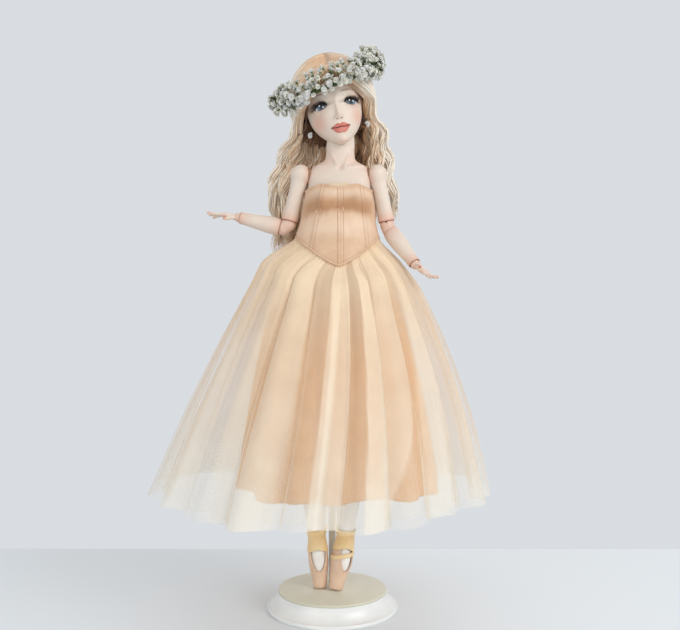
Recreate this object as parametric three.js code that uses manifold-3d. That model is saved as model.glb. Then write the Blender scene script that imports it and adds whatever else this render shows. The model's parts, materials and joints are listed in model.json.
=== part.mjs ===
import * as THREE from 'three';
import { mergeVertices } from 'three/addons/utils/BufferGeometryUtils.js';
import Module from 'manifold-3d';

// A stringed ball-jointed doll in a ballet dress, standing on its display stand.
// Millimetres, +Z up. The doll faces -Y, so +X is the doll's left hand.
// The origin is the centre of the stand's underside.

const wasm = await Module();
wasm.setup();

const V = (x, y, z) => new THREE.Vector3(x, y, z);
const deg = THREE.MathUtils.degToRad;

// Clearances
const seam = 0.3; // between pieces that touch
const clothGap = 1; // between layers of cloth, and from cloth to body
const cutOverrun = 2; // how far a cutting tool runs past what it cuts
const mergeReach = 1e-4; // points closer than this are one point

// Stand
const stand = {
  baseRadius: 64.6, flange: 4, edgeRound: 1.6, coveRadius: 54.6, height: 19.5,
  discRadius: 53.5, discThickness: 2.2, rimWidth: 1.1,
  rodRadius: 3.6, rodX: -0.5, rodY: 16, rodSocket: 9,
  saddleWidth: 6, saddleThickness: 2.6, saddleFront: 17, saddleBack: 20, saddleSlope: 0.9,
};

// Torso, neck and the joints that it carries
const torso = {
  bottom: 288.5, halfWidth: 36, halfDepth: 24, lean: 7.5, wall: 3.2,
  hipX: 18, hipZ: 303, hipBall: 12.5, hipLineDrop: 2, crotchHalf: 4,
  shoulderRightX: -31.5, shoulderLeftX: 44.2, shoulderZ: 432.4, shoulderBall: 10,
  neckX: 8.5, neckY: 3, neckZ: 472, neckBall: 13, neckRadius: 13.2,
  neckBore: 4, elasticRadius: 1.3, bustRise: 5, bustZ: 404, bustSpread: 9, bustHeight: 10, bustHalfSpacing: 18,
  hollowFromShare: 0.15, hollowToShare: 0.76, elasticTopShare: 0.71,
};
// Thin lining shells between balls and their cups. A reach is in degrees from the ball's top.
const liner = {
  gap: 0.3, wall: 0.5, holeShare: 0.16, neckHoleShare: 0.26, neckReach: 74, shoulderReach: 44, hipReach: 62,
};
const linerSwell = 0.045; // share by which the liner's corners stand out
const cupGap = (radius) => liner.gap * 2 + liner.wall + radius * linerSwell; // from a ball to its cup

// Dress
const corset = {
  thickness: 1.4, halfWidth: 36, halfDepth: 28, topSide: 414.5, topPeak: 420.5, topCentre: 416.2,
  bottomSide: 370, bottomFront: 339, bottomBack: 360, pointShare: 1.25, peakHalf: 20,
};
const lace = { height: 5, halfWidth: 7.6, thickness: 0.9 };
const lacing = { radius: 0.8, halfWidth: 6, crossings: 5, pitch: 7.5, topDrop: 12 };
const tulle = {
  top: 377, hem: 112, flare: 26, hemWave: 9, halfWidth: 164, halfDepth: 148, thickness: 1.2,
  folds: 15, foldDepth: 11, shift: -13,
};
const lining = {
  top: 376, hem: 123, flare: 34, halfWidth: 101, halfDepth: 95, thickness: 1.2,
  folds: 10, foldDepth: 4, shift: 6,
};

// Head, wig and flowers
const head = {
  halfWidth: 27.5, halfDepth: 31, up: 39, down: 40.5, wall: 3.2, roll: 12, yaw: 3.5,
  centreX: 1.6, centreY: 3.5, centreZ: 498.5, capPlane: 9, eyeBall: 7.2, eyeHalfSpacing: 15.3,
  eyeDepth: 18.8, eyeDrop: 1.5, cavityFloor: 9, hookBore: 6, hookRadius: 1.4, hookBar: 8.5, earring: 2.6,
};
const wig = {
  halfWidth: 43.5, halfDepth: 42, halfHeight: 47, setBack: 4, rise: 9, lift: 1,
  hairlineTop: 17, besideEyes: 6, bottom: 29, split: 1.6, sideFront: 6, hemHalfWidth: 46,
  rightX: -60, rightBottom: 372, leftX: 60, leftBottom: 396, sideY: 37, backX: 2, backY: 42, backBottom: 394,
  lockHalf: 13, lockDepth: 6.5, backHalf: 30,
};
const lash = { halfWidth: 7.2, rise: 4.4, length: 2.2, thickness: 0.5, standOff: 2.5 };
const wreath = {
  halfWidth: 46.5, halfDepth: 46, tube: 1.7, tiltSide: 22, tiltFront: 14, rise: 24,
  sprayBlob: 6.2, floret: 3,
  sprays: {
    right: { fromAngle: 150, toAngle: 236, blobs: 10 },
    left: { fromAngle: -74, toAngle: 38, blobs: 14 },
  },
};

// Arms
const arm = {
  upper: 51.2, upperRadius: 7.9, elbowBall: 7.2, elbowStep: 6.7, cupRise: 3.2,
  foreRadius: 8.2, wristBall: 4.9, wristCupRise: 1.6, bore: 2.2,
  handLength: 33, palmLength: 15.5, palmHalf: 6.6, palmThick: 2.9, fingerRadius: 1.55,
  thumbLength: 12, hookPin: 0.9, hookShank: 0.9, hookSlot: 2.5, hookGap: 0.35, hookReach: 15,
  hookSlotAngles: [-36, 0, 36],
};
// Places of the wrists, and how far the fingertips lie from them
const reach = {
  wristRightX: -93.5, wristRightY: 0, wristRightZ: 389.5,
  handRightX: -33, handRightY: -2, handRightZ: 5,
  wristLeftX: 80.6, wristLeftY: -24, wristLeftZ: 341.1,
  handLeftX: 21.4, handLeftY: -22, handLeftZ: -20.7,
};
const armSwing = { right: -14.12, left: 11.86 }; // degrees of the upper arms from straight down

// Legs
const leg = {
  kneeX: 20, kneeY: -5, kneeUpperZ: 193, kneeLowerZ: 181, kneeBall: 10, cupRise: 3,
  thighRadius: 15, calfRadius: 13.3, bore: 3, ankleZ: 71, ankleRightX: -15.8, ankleLeftX: 13,
  ankleY: 3, ankleBall: 7.2, ankleRadius: 8.6, ankleCupRise: 1.5,
};
const toes = { rightX: -12.3, rightY: -1, leftX: 3.3, leftY: -8, above: 0.9 };
const turnOut = { footRight: 4, footLeft: 37, kneeRight: 4, kneeLeft: -28 }; // degrees from facing -Y
const shoe = { wall: 1.2, heelDrop: 5, vampDrop: 27, openingHalf: 7.2 };
const ribbon = { height: 4.6, thickness: 0.7, above: 7 };

// Fineness of the facets
const facets = { round: 16, ball: 12, ballRows: 8, limb: 10, small: 8, cloth: 60, body: 22 };

// Materials
function finish(color, roughness, metalness = 0) {
  return new THREE.MeshStandardMaterial({ color, roughness, metalness, side: THREE.DoubleSide });
}
const resin = () => finish('#ecdcd0', 0.5);
const satin = (color) => finish(color, 0.38);
const hairFinish = () => finish('#c8a07c', 0.45);
const elastic = () => finish('#f2efe8', 0.7);
const suede = () => finish('#d9c3ae', 0.9);
const steel = () => finish('#c8ccd0', 0.25, 1);

// Turn closed geometry into a solid for cutting, and back
function solid(geometry) {
  const plain = geometry.clone();
  plain.deleteAttribute('normal');
  plain.deleteAttribute('uv');
  const merged = mergeVertices(plain, mergeReach);
  const index = merged.index ? merged.index.array : [...Array(merged.attributes.position.count).keys()];
  return new wasm.Manifold(new wasm.Mesh({
    numProp: 3,
    vertProperties: new Float32Array(merged.attributes.position.array),
    triVerts: new Uint32Array(index),
  }));
}

function geometryOf(body) {
  const mesh = body.getMesh();
  const geometry = new THREE.BufferGeometry();
  geometry.setAttribute('position', new THREE.BufferAttribute(new Float32Array(mesh.vertProperties), 3));
  geometry.setIndex([...mesh.triVerts]);
  geometry.computeVertexNormals();
  return geometry;
}

const cut = (body, ...tools) => tools.reduce((left, tool) => left.subtract(tool), body);
const join = (...bodies) => bodies.reduce((sum, next) => sum.add(next));

// A skin over rings of points. Every ring has as many points as the next. With closed set, the
// last ring meets the first, as on a tube bent into a hoop or a shell with two walls.
function skin(rings, closed = false) {
  const count = rings[0].length;
  const points = rings.flat();
  const triangles = [];
  const stretch = closed ? rings.length : rings.length - 1;
  for (let i = 0; i < stretch; i += 1) {
    const here = i * count;
    const next = ((i + 1) % rings.length) * count;
    for (let j = 0; j < count; j += 1) {
      const k = (j + 1) % count;
      triangles.push(here + j, here + k, next + k, here + j, next + k, next + j);
    }
  }
  if (!closed) {
    for (const [ring, flip] of [[0, true], [rings.length - 1, false]]) {
      const centre = rings[ring].reduce((sum, p) => sum.add(p), V(0, 0, 0)).divideScalar(count);
      points.push(centre);
      for (let j = 0; j < count; j += 1) {
        const a = ring * count + j;
        const b = ring * count + (j + 1) % count;
        if (flip) triangles.push(points.length - 1, b, a);
        else triangles.push(points.length - 1, a, b);
      }
    }
  }
  const geometry = new THREE.BufferGeometry().setFromPoints(points);
  geometry.setIndex(volume(points, triangles) < 0 ? turned(triangles) : triangles);
  geometry.computeVertexNormals();
  return geometry;
}

function volume(points, triangles) {
  let sum = 0;
  for (let i = 0; i < triangles.length; i += 3) {
    const [a, b, c] = [0, 1, 2].map((k) => points[triangles[i + k]]);
    sum += a.dot(b.clone().cross(c));
  }
  return sum;
}

function turned(triangles) {
  const out = [];
  for (let i = 0; i < triangles.length; i += 3) out.push(triangles[i], triangles[i + 2], triangles[i + 1]);
  return out;
}

// Points of an ellipse round a centre, spanned by two directions
function ellipse(centre, across, along, count) {
  return Array.from({ length: count }, (_, i) => {
    const turn = (2 * Math.PI * i) / count;
    return centre.clone().addScaledVector(across, Math.cos(turn)).addScaledVector(along, Math.sin(turn));
  });
}

function ball(centre, radius, around = facets.ball, rows = facets.ballRows) {
  const sphere = new THREE.SphereGeometry(radius, around, rows);
  sphere.rotateX(Math.PI / 2);
  sphere.translate(centre.x, centre.y, centre.z);
  return solid(sphere);
}

// How far a faceted ball's corners stand beyond its flats
const flatsShare = Math.cos(Math.PI / facets.ball) * Math.cos(Math.PI / 2 / facets.ballRows);

// A ball for cutting a cup, whose flats, not its corners, keep the radius
const cupBall = (centre, radius) => ball(centre, radius / flatsShare);

// A solid given in the doll's frame, seen from a limb's group
function seenFrom(group, body) {
  group.updateWorldMatrix(true, false);
  return body.transform(group.matrixWorld.clone().invert().toArray());
}

// A round rod between two points
function rod(from, to, radius, sides = facets.small) {
  const direction = to.clone().sub(from);
  const cylinder = new THREE.CylinderGeometry(radius, radius, direction.length(), sides);
  cylinder.applyQuaternion(new THREE.Quaternion().setFromUnitVectors(V(0, 1, 0), direction.normalize()));
  const middle = from.clone().add(to).multiplyScalar(0.5);
  cylinder.translate(middle.x, middle.y, middle.z);
  return solid(cylinder);
}

function block(low, high) {
  const size = high.clone().sub(low);
  const box = new THREE.BoxGeometry(size.x, size.y, size.z);
  box.translate(low.x + size.x / 2, low.y + size.y / 2, low.z + size.z / 2);
  return solid(box);
}

// A value read off a table of [share, value share] rows, straight between the rows
function follow(table, share, column = 1) {
  const last = table.length - 1;
  if (share <= table[0][0]) return table[0][column];
  for (let i = 0; i < last; i += 1) {
    const [here, next] = [table[i], table[i + 1]];
    if (share <= next[0]) {
      const mix = (share - here[0]) / (next[0] - here[0]);
      return here[column] + (next[column] - here[column]) * mix;
    }
  }
  return table[last][column];
}

const doll = new THREE.Group();

function add(name, body, material, group = doll) {
  const geometry = body instanceof THREE.BufferGeometry ? body : geometryOf(body);
  const mesh = new THREE.Mesh(geometry, material);
  mesh.name = name;
  group.add(mesh);
  return mesh;
}

// A group at a joint, whose -Z points down the limb and whose X is the hinge's direction
function limbGroup(from, to, hinge) {
  const up = from.clone().sub(to).normalize();
  const across = hinge.clone().addScaledVector(up, -hinge.dot(up)).normalize();
  const group = new THREE.Group();
  group.position.copy(from);
  const facing = up.clone().cross(across);
  group.quaternion.setFromRotationMatrix(new THREE.Matrix4().makeBasis(across, facing, up));
  doll.add(group);
  return group;
}

// A limb down local -Z. The table gives [share of the length, share of the radius, share forward].
function limb(length, radius, shares, sides = facets.limb) {
  return solid(skin(shares.map(([along, wide, forward = 0]) => ellipse(
    V(0, -radius * forward, -length * along), V(radius * wide, 0, 0), V(0, radius * wide, 0), sides,
  ))));
}

// A thin cup round the top of a ball at the local origin, open downwards, with a hole at its top
function cupShell(radius, reach, holeShare = liner.holeShare) {
  const rows = 3;
  const step = (reach * (1 - holeShare)) / rows;
  const inner = (radius + liner.gap) / (Math.cos(Math.PI / facets.ball) * Math.cos(step / 2));
  const outer = inner + liner.wall;
  const rings = [];
  for (const [size, order] of [[outer, 1], [inner, -1]]) {
    for (let i = 0; i <= rows; i += 1) {
      const share = order > 0 ? i / rows : 1 - i / rows;
      const angle = reach * (holeShare + (1 - holeShare) * share);
      const wide = size * Math.sin(angle);
      rings.push(ellipse(V(0, 0, size * Math.cos(angle)), V(wide, 0, 0), V(0, wide, 0), facets.ball));
    }
  }
  return skin(rings, true);
}

// Stand: turned base, top disc, rod and saddle
function turnedSolid(outline, sides) {
  const lathe = new THREE.LatheGeometry(outline.map(([r, z]) => new THREE.Vector2(r, z)), sides);
  lathe.rotateX(Math.PI / 2);
  return solid(lathe);
}

function makeStand() {
  const top = stand.height - stand.discThickness - seam;
  const rise = stand.height - stand.flange;
  const run = stand.baseRadius - stand.coveRadius;
  const coveShares = [[0.1, 0.1], [0.42, 0.28], [0.72, 0.62], [1, 0.86]];
  const base = turnedSolid([
    [0, 0],
    [stand.baseRadius - stand.edgeRound / 2, 0],
    [stand.baseRadius, stand.edgeRound / 2],
    [stand.baseRadius, stand.flange - stand.edgeRound],
    [stand.baseRadius - stand.edgeRound / 2, stand.flange],
    ...coveShares.map(([r, z]) => [stand.baseRadius - run * r, stand.flange + rise * z]),
    [stand.discRadius - stand.rimWidth, top],
    [0, top],
    [0, 0],
  ], 36);
  const disc = turnedSolid([
    [0, top + seam],
    [stand.discRadius - seam, top + seam],
    [stand.discRadius, stand.height - stand.discThickness / 2],
    [stand.discRadius - stand.discThickness / 4, stand.height],
    [0, stand.height],
    [0, top + seam],
  ], 32);
  const foot = V(stand.rodX, stand.rodY, stand.height - stand.rodSocket);
  const aboveDisc = V(stand.rodX, stand.rodY, stand.height + cutOverrun);
  const throughDisc = rod(foot, aboveDisc, stand.rodRadius + seam, 16);
  add('stand_base', cut(base, throughDisc), finish('#eef0ee', 0.2));
  add('stand_top_disc', cut(disc, throughDisc), finish('#d8d5c4', 0.75));

  const seat = torso.bottom - seam;
  const underside = seat - stand.saddleThickness;
  const postTop = V(stand.rodX, stand.rodY, underside - seam);
  const post = rod(foot.clone().setZ(foot.z + seam), postTop, stand.rodRadius, 16);
  const pin = stand.rodRadius / 2;
  const pinTop = underside + stand.saddleThickness / 2;
  const spigot = rod(V(stand.rodX, stand.rodY, underside - pin), V(stand.rodX, stand.rodY, pinTop), pin, 12);
  add('stand_rod', join(post, spigot), finish('#e9ebe8', 0.3));

  const path = [];
  const middle = torso.halfDepth * torsoShares[0][4];
  const flat = torso.halfDepth * torsoShares[0][2] + stand.saddleThickness / 2;
  for (let i = 0; i <= 12; i += 1) {
    const y = -stand.saddleFront + (i / 12) * (stand.saddleFront + stand.saddleBack);
    const beyond = Math.max(0, Math.abs(y - middle) - flat);
    path.push([y, seat - stand.saddleThickness / 2 + stand.saddleSlope * beyond]);
  }
  const rings = path.map(([y, z]) => {
    const half = stand.saddleWidth / 2;
    const deep = stand.saddleThickness / 2;
    return [V(stand.rodX - half, y, z - deep), V(stand.rodX + half, y, z - deep),
      V(stand.rodX + half, y, z + deep), V(stand.rodX - half, y, z + deep)];
  });
  const boreLow = V(stand.rodX, stand.rodY, underside - cutOverrun);
  const bore = rod(boreLow, V(stand.rodX, stand.rodY, pinTop + seam), pin + seam, 12);
  add('stand_saddle', cut(solid(skin(rings)), bore), finish('#e9ebe8', 0.35));
}

// Torso: rows of [height, half width, half depth, lean, set back], all as shares
const torsoShares = [
  [0, 0.44, 0.54, 0.07, 0.08],
  [0.03, 0.78, 0.79, 0.07, 0.08],
  [0.09, 1, 0.96, 0.13, 0.08],
  [0.17, 1.05, 1, 0.2, 0.08],
  [0.28, 0.96, 0.88, 0.4, 0.04],
  [0.4, 0.89, 0.8, 0.66, 0],
  [0.526, 0.9, 0.84, 0.73, -0.02],
  [0.597, 0.9, 0.9, 0.8, -0.06],
  [0.673, 0.87, 0.84, 0.87, -0.05],
  [0.739, 0.85, 0.72, 0.93, 0],
  [0.793, 0.83, 0.58, 0.97, 0.06],
  [0.827, 0.67, 0.51, 1, 0.1],
  [0.861, 0.44, 0.48, 1, 0.12],
  [0.895, 0.37, 0.49, 1.02, 0.125],
  [1, 0.36, 0.5, 1.13, 0.125],
];
const torsoHeight = torso.neckZ - torso.bottom;

// How far the bust stands forward of the chest at a place on its front
function bust(x, z) {
  const up = Math.exp(-(((z - torso.bustZ) / torso.bustHeight) ** 2));
  const middle = torso.lean;
  const swell = [-1, 1].map((side) => {
    const off = x - middle - side * torso.bustHalfSpacing;
    return Math.exp(-((off / torso.bustSpread) ** 2));
  });
  return torso.bustRise * up * Math.max(...swell);
}

function torsoRing(share, grow, count = facets.body) {
  const z = torso.bottom + torsoHeight * share;
  const wide = torso.halfWidth * follow(torsoShares, share, 1) + grow;
  const deep = torso.halfDepth * follow(torsoShares, share, 2) + grow;
  const lean = torso.lean * follow(torsoShares, share, 3);
  const centre = V(lean, torso.halfDepth * follow(torsoShares, share, 4), z);
  const ring = ellipse(centre, V(wide, 0, 0), V(0, deep, 0), count);
  for (const p of ring) if (p.y < centre.y) p.y -= bust(p.x, z) * Math.min(1, (centre.y - p.y) / deep * 1.4);
  return ring;
}

const hips = { right: V(-torso.hipX, 0, torso.hipZ), left: V(torso.hipX, 0, torso.hipZ) };
const shoulders = {
  right: V(torso.shoulderRightX, 0, torso.shoulderZ),
  left: V(torso.shoulderLeftX, 0, torso.shoulderZ),
};
const neck = V(torso.neckX, torso.neckY, torso.neckZ);

function makeTorso() {
  const shares = torsoShares.map((row) => row[0]);
  const shell = solid(skin(shares.map((share) => torsoRing(share, 0))));
  const hollowShares = shares.filter((share) => share > torso.hollowFromShare && share < torso.hollowToShare);
  const hollow = solid(skin(hollowShares.map((share) => torsoRing(share, -torso.wall, facets.limb))));
  const neckTop = ball(neck, torso.neckBall);
  const boreTop = neck.clone().setZ(neck.z + torso.neckBall + cutOverrun);
  const neckBore = rod(neck.clone().setZ(torso.bustZ), boreTop, torso.neckBore);
  let body = join(shell, neckTop);
  body = cut(body, hollow, neckBore);
  for (const hip of Object.values(hips)) {
    const side = Math.sign(hip.x);
    const far = torso.halfWidth * 2;
    const line = hip.z + torso.hipLineDrop;
    const low = V(side > 0 ? torso.crotchHalf : -far, -far, torso.bottom - cutOverrun);
    const high = V(side > 0 ? far : -torso.crotchHalf, far, line);
    body = cut(body, block(low, high), cupBall(hip, torso.hipBall + cupGap(torso.hipBall)));
    body = cut(body, rod(hip, V(hip.x, 0, hip.z + torso.halfWidth), leg.bore));
  }
  for (const shoulder of Object.values(shoulders)) {
    body = cut(body, cupBall(shoulder, torso.shoulderBall + cupGap(torso.shoulderBall)));
  }
  body = cut(body, rod(shoulders.right, shoulders.left, arm.bore));
  add('torso', body, resin());
}

// Elastic cords inside the torso, which pull the ball joints into their cups
function makeElastics() {
  const armReach = (torso.shoulderBall + cupGap(torso.shoulderBall)) / flatsShare;
  const legReach = (torso.hipBall + cupGap(torso.hipBall)) / flatsShare;
  const from = shoulders.right.clone().setX(shoulders.right.x + armReach);
  const to = shoulders.left.clone().setX(shoulders.left.x - armReach);
  add('arm_elastic', rod(from, to, torso.elasticRadius, 8), elastic());
  for (const [side, hip] of Object.entries(hips)) {
    const top = torso.bottom + torsoHeight * torso.elasticTopShare;
    const bottom = V(hip.x, 0, hip.z + legReach + seam);
    const bend = V(hip.x * 0.75, -2 * torso.elasticRadius, (bottom.z + top) / 2);
    const above = V(neck.x + Math.sign(hip.x) * 2 * torso.elasticRadius, -2 * torso.elasticRadius, top);
    const path = new THREE.CatmullRomCurve3([bottom, bend, above]);
    const section = new THREE.Shape();
    section.absarc(0, 0, torso.elasticRadius, 0, 2 * Math.PI);
    const tube = new THREE.ExtrudeGeometry(section, { steps: 8, curveSegments: 2, extrudePath: path });
    add(`leg_elastic_${side}`, solid(tube), elastic());
  }
}

// Corset: [height share from the lower front point to the bust peak, half width, half depth, lean]
const corsetShares = [
  [0, 1.3, 1.52, 0.85],
  [0.14, 1.24, 1.38, 0.8],
  [0.26, 1.2, 1.24, 0.72],
  [0.39, 1.15, 1.06, 0.65],
  [0.565, 1.04, 0.93, 0.73],
  [0.72, 1.01, 0.93, 0.8],
  [0.92, 0.935, 0.86, 0.87],
  [1, 0.925, 0.78, 0.9],
];
const corsetSpan = corset.topPeak - corset.bottomFront;

function corsetPoint(turn, z, grow) {
  const share = (z - corset.bottomFront) / corsetSpan;
  const wide = corset.halfWidth * follow(corsetShares, share, 1) + grow;
  const deep = corset.halfDepth * follow(corsetShares, share, 2) + grow;
  const x = torso.lean * follow(corsetShares, share, 3) + wide * Math.cos(turn);
  const front = Math.max(0, -Math.sin(turn));
  const y = deep * Math.sin(turn) - bust(x, z) * Math.min(1, front * 1.4);
  return V(x, y, z);
}

// Upper edge dips between the two bust peaks, lower edge comes to a point in front
function corsetEdges(turn) {
  const front = Math.max(0, -Math.sin(turn));
  const back = Math.max(0, Math.sin(turn));
  const x = corset.halfWidth * Math.cos(turn);
  const peak = Math.exp(-(((Math.abs(x) - corset.peakHalf) / (corset.peakHalf * 0.55)) ** 2));
  const level = corset.topSide + (corset.topCentre - corset.topSide) * front;
  const top = level + (corset.topPeak - corset.topCentre) * peak * front;
  const toPoint = front > 0 ? 1 - Math.abs(Math.cos(turn)) ** corset.pointShare : 0;
  const dropFront = (corset.bottomSide - corset.bottomFront) * toPoint;
  const bottom = corset.bottomSide - dropFront - (corset.bottomSide - corset.bottomBack) * back;
  return [bottom, top];
}

function shellBetween(count, rows, place) {
  const rings = [];
  for (const [side, order] of [[1, 1], [0, -1]]) {
    for (let i = 0; i <= rows; i += 1) {
      const share = order > 0 ? i / rows : 1 - i / rows;
      rings.push(Array.from({ length: count }, (_, j) => place((2 * Math.PI * j) / count, share, side)));
    }
  }
  return skin(rings, true);
}

function makeCorset() {
  const geometry = shellBetween(32, 5, (turn, share, outside) => {
    const [bottom, top] = corsetEdges(turn);
    return corsetPoint(turn, bottom + (top - bottom) * share, outside ? 0 : -corset.thickness);
  });
  add('corset', geometry, satin('#dcb796'));
}

// A little lace panel above the middle of the corset
function makeLace() {
  const rings = [];
  for (let i = 0; i <= 6; i += 1) {
    const turn = -Math.PI / 2 + (i / 6 - 0.5) * 2 * (lace.halfWidth / corset.halfWidth);
    const [, top] = corsetEdges(turn);
    const low = corsetPoint(turn, top, -lace.thickness / 4).setZ(top + seam);
    const scallop = 1 - 0.25 * Math.abs(i / 3 - 1);
    const high = corsetPoint(turn, top, -lace.thickness / 4).setZ(top + seam + lace.height * scallop);
    const inward = V(0, lace.thickness, 0);
    rings.push([low, high, high.clone().add(inward), low.clone().add(inward)]);
  }
  add('lace_panel', skin(rings), finish('#ecdcc8', 0.8));
}

// Lacing at the back: one cord that zigzags down between two rows of eyelets
function makeLacing() {
  const points = [];
  for (let i = 0; i <= lacing.crossings * 2; i += 1) {
    const z = corset.topSide - lacing.topDrop - (i * lacing.pitch) / 2;
    const x = torso.lean + (i % 2 ? 1 : -1) * lacing.halfWidth;
    const turn = Math.acos((x - torso.lean) / corset.halfWidth);
    const surface = corsetPoint(turn, z, lacing.radius + seam * 2);
    points.push(V(surface.x, surface.y + seam, z));
  }
  const path = new THREE.CatmullRomCurve3(points, false, 'catmullrom', 0.2);
  const section = new THREE.Shape();
  section.absarc(0, 0, lacing.radius, 0, 2 * Math.PI);
  const cord = new THREE.ExtrudeGeometry(section, { steps: 24, curveSegments: 2, extrudePath: path });
  add('corset_lacing', solid(cord), satin('#e0bd9c'));
}

// Skirts: rows of [share down, half width, half depth, sideways shift], all as shares
const tulleShares = [
  [0, 0.26, 0.2, -0.4],
  [0.05, 0.34, 0.24, 0],
  [0.12, 0.42, 0.3, 0.1],
  [0.19, 0.49, 0.39, -0.1],
  [0.3, 0.58, 0.52, -0.1],
  [0.42, 0.67, 0.64, 0],
  [0.65, 0.82, 0.82, 0.3],
  [1, 1, 1, 1],
];
const liningShares = [
  [0, 0.36, 0.27, 0.85],
  [0.07, 0.45, 0.31, 0.7],
  [0.14, 0.53, 0.38, 0.5],
  [0.24, 0.62, 0.51, 0.5],
  [0.38, 0.72, 0.67, 0.6],
  [0.62, 0.85, 0.83, 0.8],
  [1, 1, 1, 1],
];

// A gathered skirt: held flat under the corset, and flaring from the corset's lower edge
function makeSkirt(name, cloth, shares, layer, count, rows, material) {
  const tucked = 2 / rows;
  const place = (turn, share, outside) => {
    const hem = cloth.hem + (cloth.hemWave ?? 0) * Math.cos(turn) ** 2;
    const edge = corsetEdges(turn)[0];
    const above = cloth.top - Math.min(1, share / tucked) * (cloth.top - edge);
    const z = above - (edge - hem) * Math.max(0, (share - tucked) / (1 - tucked)) ** 1.2;
    const down = Math.max(0, (cloth.top - z) / (cloth.top - hem));
    const below = Math.min(1, Math.max(0, (edge - z) / cloth.flare));
    const free = 1 - (1 - below) ** 2;
    const fold = cloth.foldDepth * down ** 0.8 * Math.cos(cloth.folds * turn + 0.9 * Math.sin(3 * turn));
    const wide = cloth.halfWidth * follow(shares, down, 1) + fold;
    const deep = cloth.halfDepth * follow(shares, down, 2) + fold;
    const shift = cloth.shift * follow(shares, down, 3);
    const loose = V(shift + wide * Math.cos(turn), deep * Math.sin(turn), z);
    const held = corsetPoint(turn, Math.max(z, edge), -corset.thickness - clothGap - layer).setZ(z);
    const point = held.lerp(loose, free);
    if (!outside) point.add(V(Math.cos(turn), Math.sin(turn), 0).multiplyScalar(-cloth.thickness));
    return point;
  };
  add(name, shellBetween(count, rows, place), material);
}

// Head frame: origin at the middle of the skull, -Y to the face, +Z to the crown
const headFrame = new THREE.Group();
headFrame.position.set(head.centreX, head.centreY, head.centreZ);
headFrame.rotation.set(0, -deg(head.roll), deg(head.yaw), 'YXZ');
doll.add(headFrame);
headFrame.updateMatrixWorld();
const toHead = (point) => headFrame.worldToLocal(point.clone());
const neckInHead = toHead(neck);

// Skull rows: [height share, half width, half depth, set back], all as shares
const headShares = [
  [-0.97, 0.2, 0.2, -0.62],
  [-0.9, 0.38, 0.4, -0.46],
  [-0.8, 0.55, 0.56, -0.33],
  [-0.62, 0.77, 0.74, -0.2],
  [-0.4, 0.91, 0.9, -0.05],
  [-0.15, 0.99, 0.97, 0],
  [0.15, 1, 1, 0.02],
  [0.45, 0.92, 0.93, 0.04],
  [0.7, 0.74, 0.76, 0.06],
  [0.88, 0.48, 0.52, 0.07],
  [0.97, 0.24, 0.27, 0.08],
];

function headRing(share, grow, count = facets.body) {
  const z = share > 0 ? share * head.up : share * head.down;
  const wide = head.halfWidth * follow(headShares, share, 1) + grow;
  const deep = head.halfDepth * follow(headShares, share, 2) + grow;
  const ring = ellipse(V(0, head.halfDepth * follow(headShares, share, 3), z), V(wide, 0, 0), V(0, deep, 0), count);
  const noseShares = [[-0.5, 0], [-0.42, 0.12], [-0.34, 0.17], [-0.1, 0.06], [0.1, 0.02], [0.2, 0]];
  const nose = head.halfDepth * follow(noseShares, share);
  const noseHalf = head.halfWidth * 0.16;
  for (const p of ring) if (p.y < 0) p.y -= nose * Math.exp(-((p.x / noseHalf) ** 2));
  return ring;
}

function makeHead() {
  const shares = headShares.map((row) => row[0]);
  const outside = solid(skin(shares.flatMap((share, i) => {
    const next = shares[i + 1];
    const extra = share > -0.7 && share < 0.2 ? [(share + next) / 2] : [];
    return [share, ...extra].map((value) => headRing(value, 0, 24));
  })));
  const cavityLow = -head.cavityFloor / head.down;
  const hollowShares = [cavityLow, -0.15, 0.15, 0.45, 0.7, 0.86];
  const hollow = solid(skin(hollowShares.map((share) => headRing(share, -head.wall * 1.4, facets.limb))));
  const cup = cupBall(neckInHead, torso.neckBall + cupGap(torso.neckBall));
  const throat = rod(neckInHead, neckInHead.clone().setZ(0), head.hookBore, 12);
  const below = toHead(neck.clone().setZ(neck.z - head.down));
  const opening = solid(skin([[below, 1.8], [neckInHead, 1.04]].map(([centre, wide]) => {
    const reach = (torso.neckBall + cupGap(torso.neckBall)) * wide;
    return ellipse(centre, V(reach, 0, 0), V(0, reach, 0), facets.ball);
  })));
  let body = cut(outside, hollow, cup, throat, opening);
  const eyes = [-1, 1].map((side) => V(side * head.eyeHalfSpacing, -head.eyeDepth, -head.eyeDrop));
  for (const eye of eyes) body = cut(body, ball(eye, head.eyeBall + seam * 2, 10, 7));
  const far = head.up * 2;
  const front = block(V(-far, -far, -far), V(far, head.capPlane, far));
  const back = block(V(-far, head.capPlane + seam, -far), V(far, far, far));
  add('head_shell', body.intersect(front), resin(), headFrame);
  add('head_cap', body.intersect(back), resin(), headFrame);
  for (const [i, side] of ['right', 'left'].entries()) {
    const eye = new THREE.SphereGeometry(head.eyeBall, 10, 7);
    eye.rotateX(Math.PI / 2);
    const mesh = add(`eye_${side}`, solid(eye), finish('#a9bccb', 0.1), headFrame);
    mesh.position.copy(eyes[i]);
    makeLash(`eyelash_${side}`, eyes[i]);
    makeEarring(`earring_${side}`, i ? 1 : -1);
  }
}

// How far forward the face stands at a place on it
function faceDepth(x, z) {
  const share = z / (z > 0 ? head.up : head.down);
  const wide = head.halfWidth * follow(headShares, share, 1);
  const deep = head.halfDepth * follow(headShares, share, 2);
  const across = Math.min(0.98, Math.abs(x) / wide);
  return head.halfDepth * follow(headShares, share, 3) - deep * Math.sqrt(1 - across ** 2);
}

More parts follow.
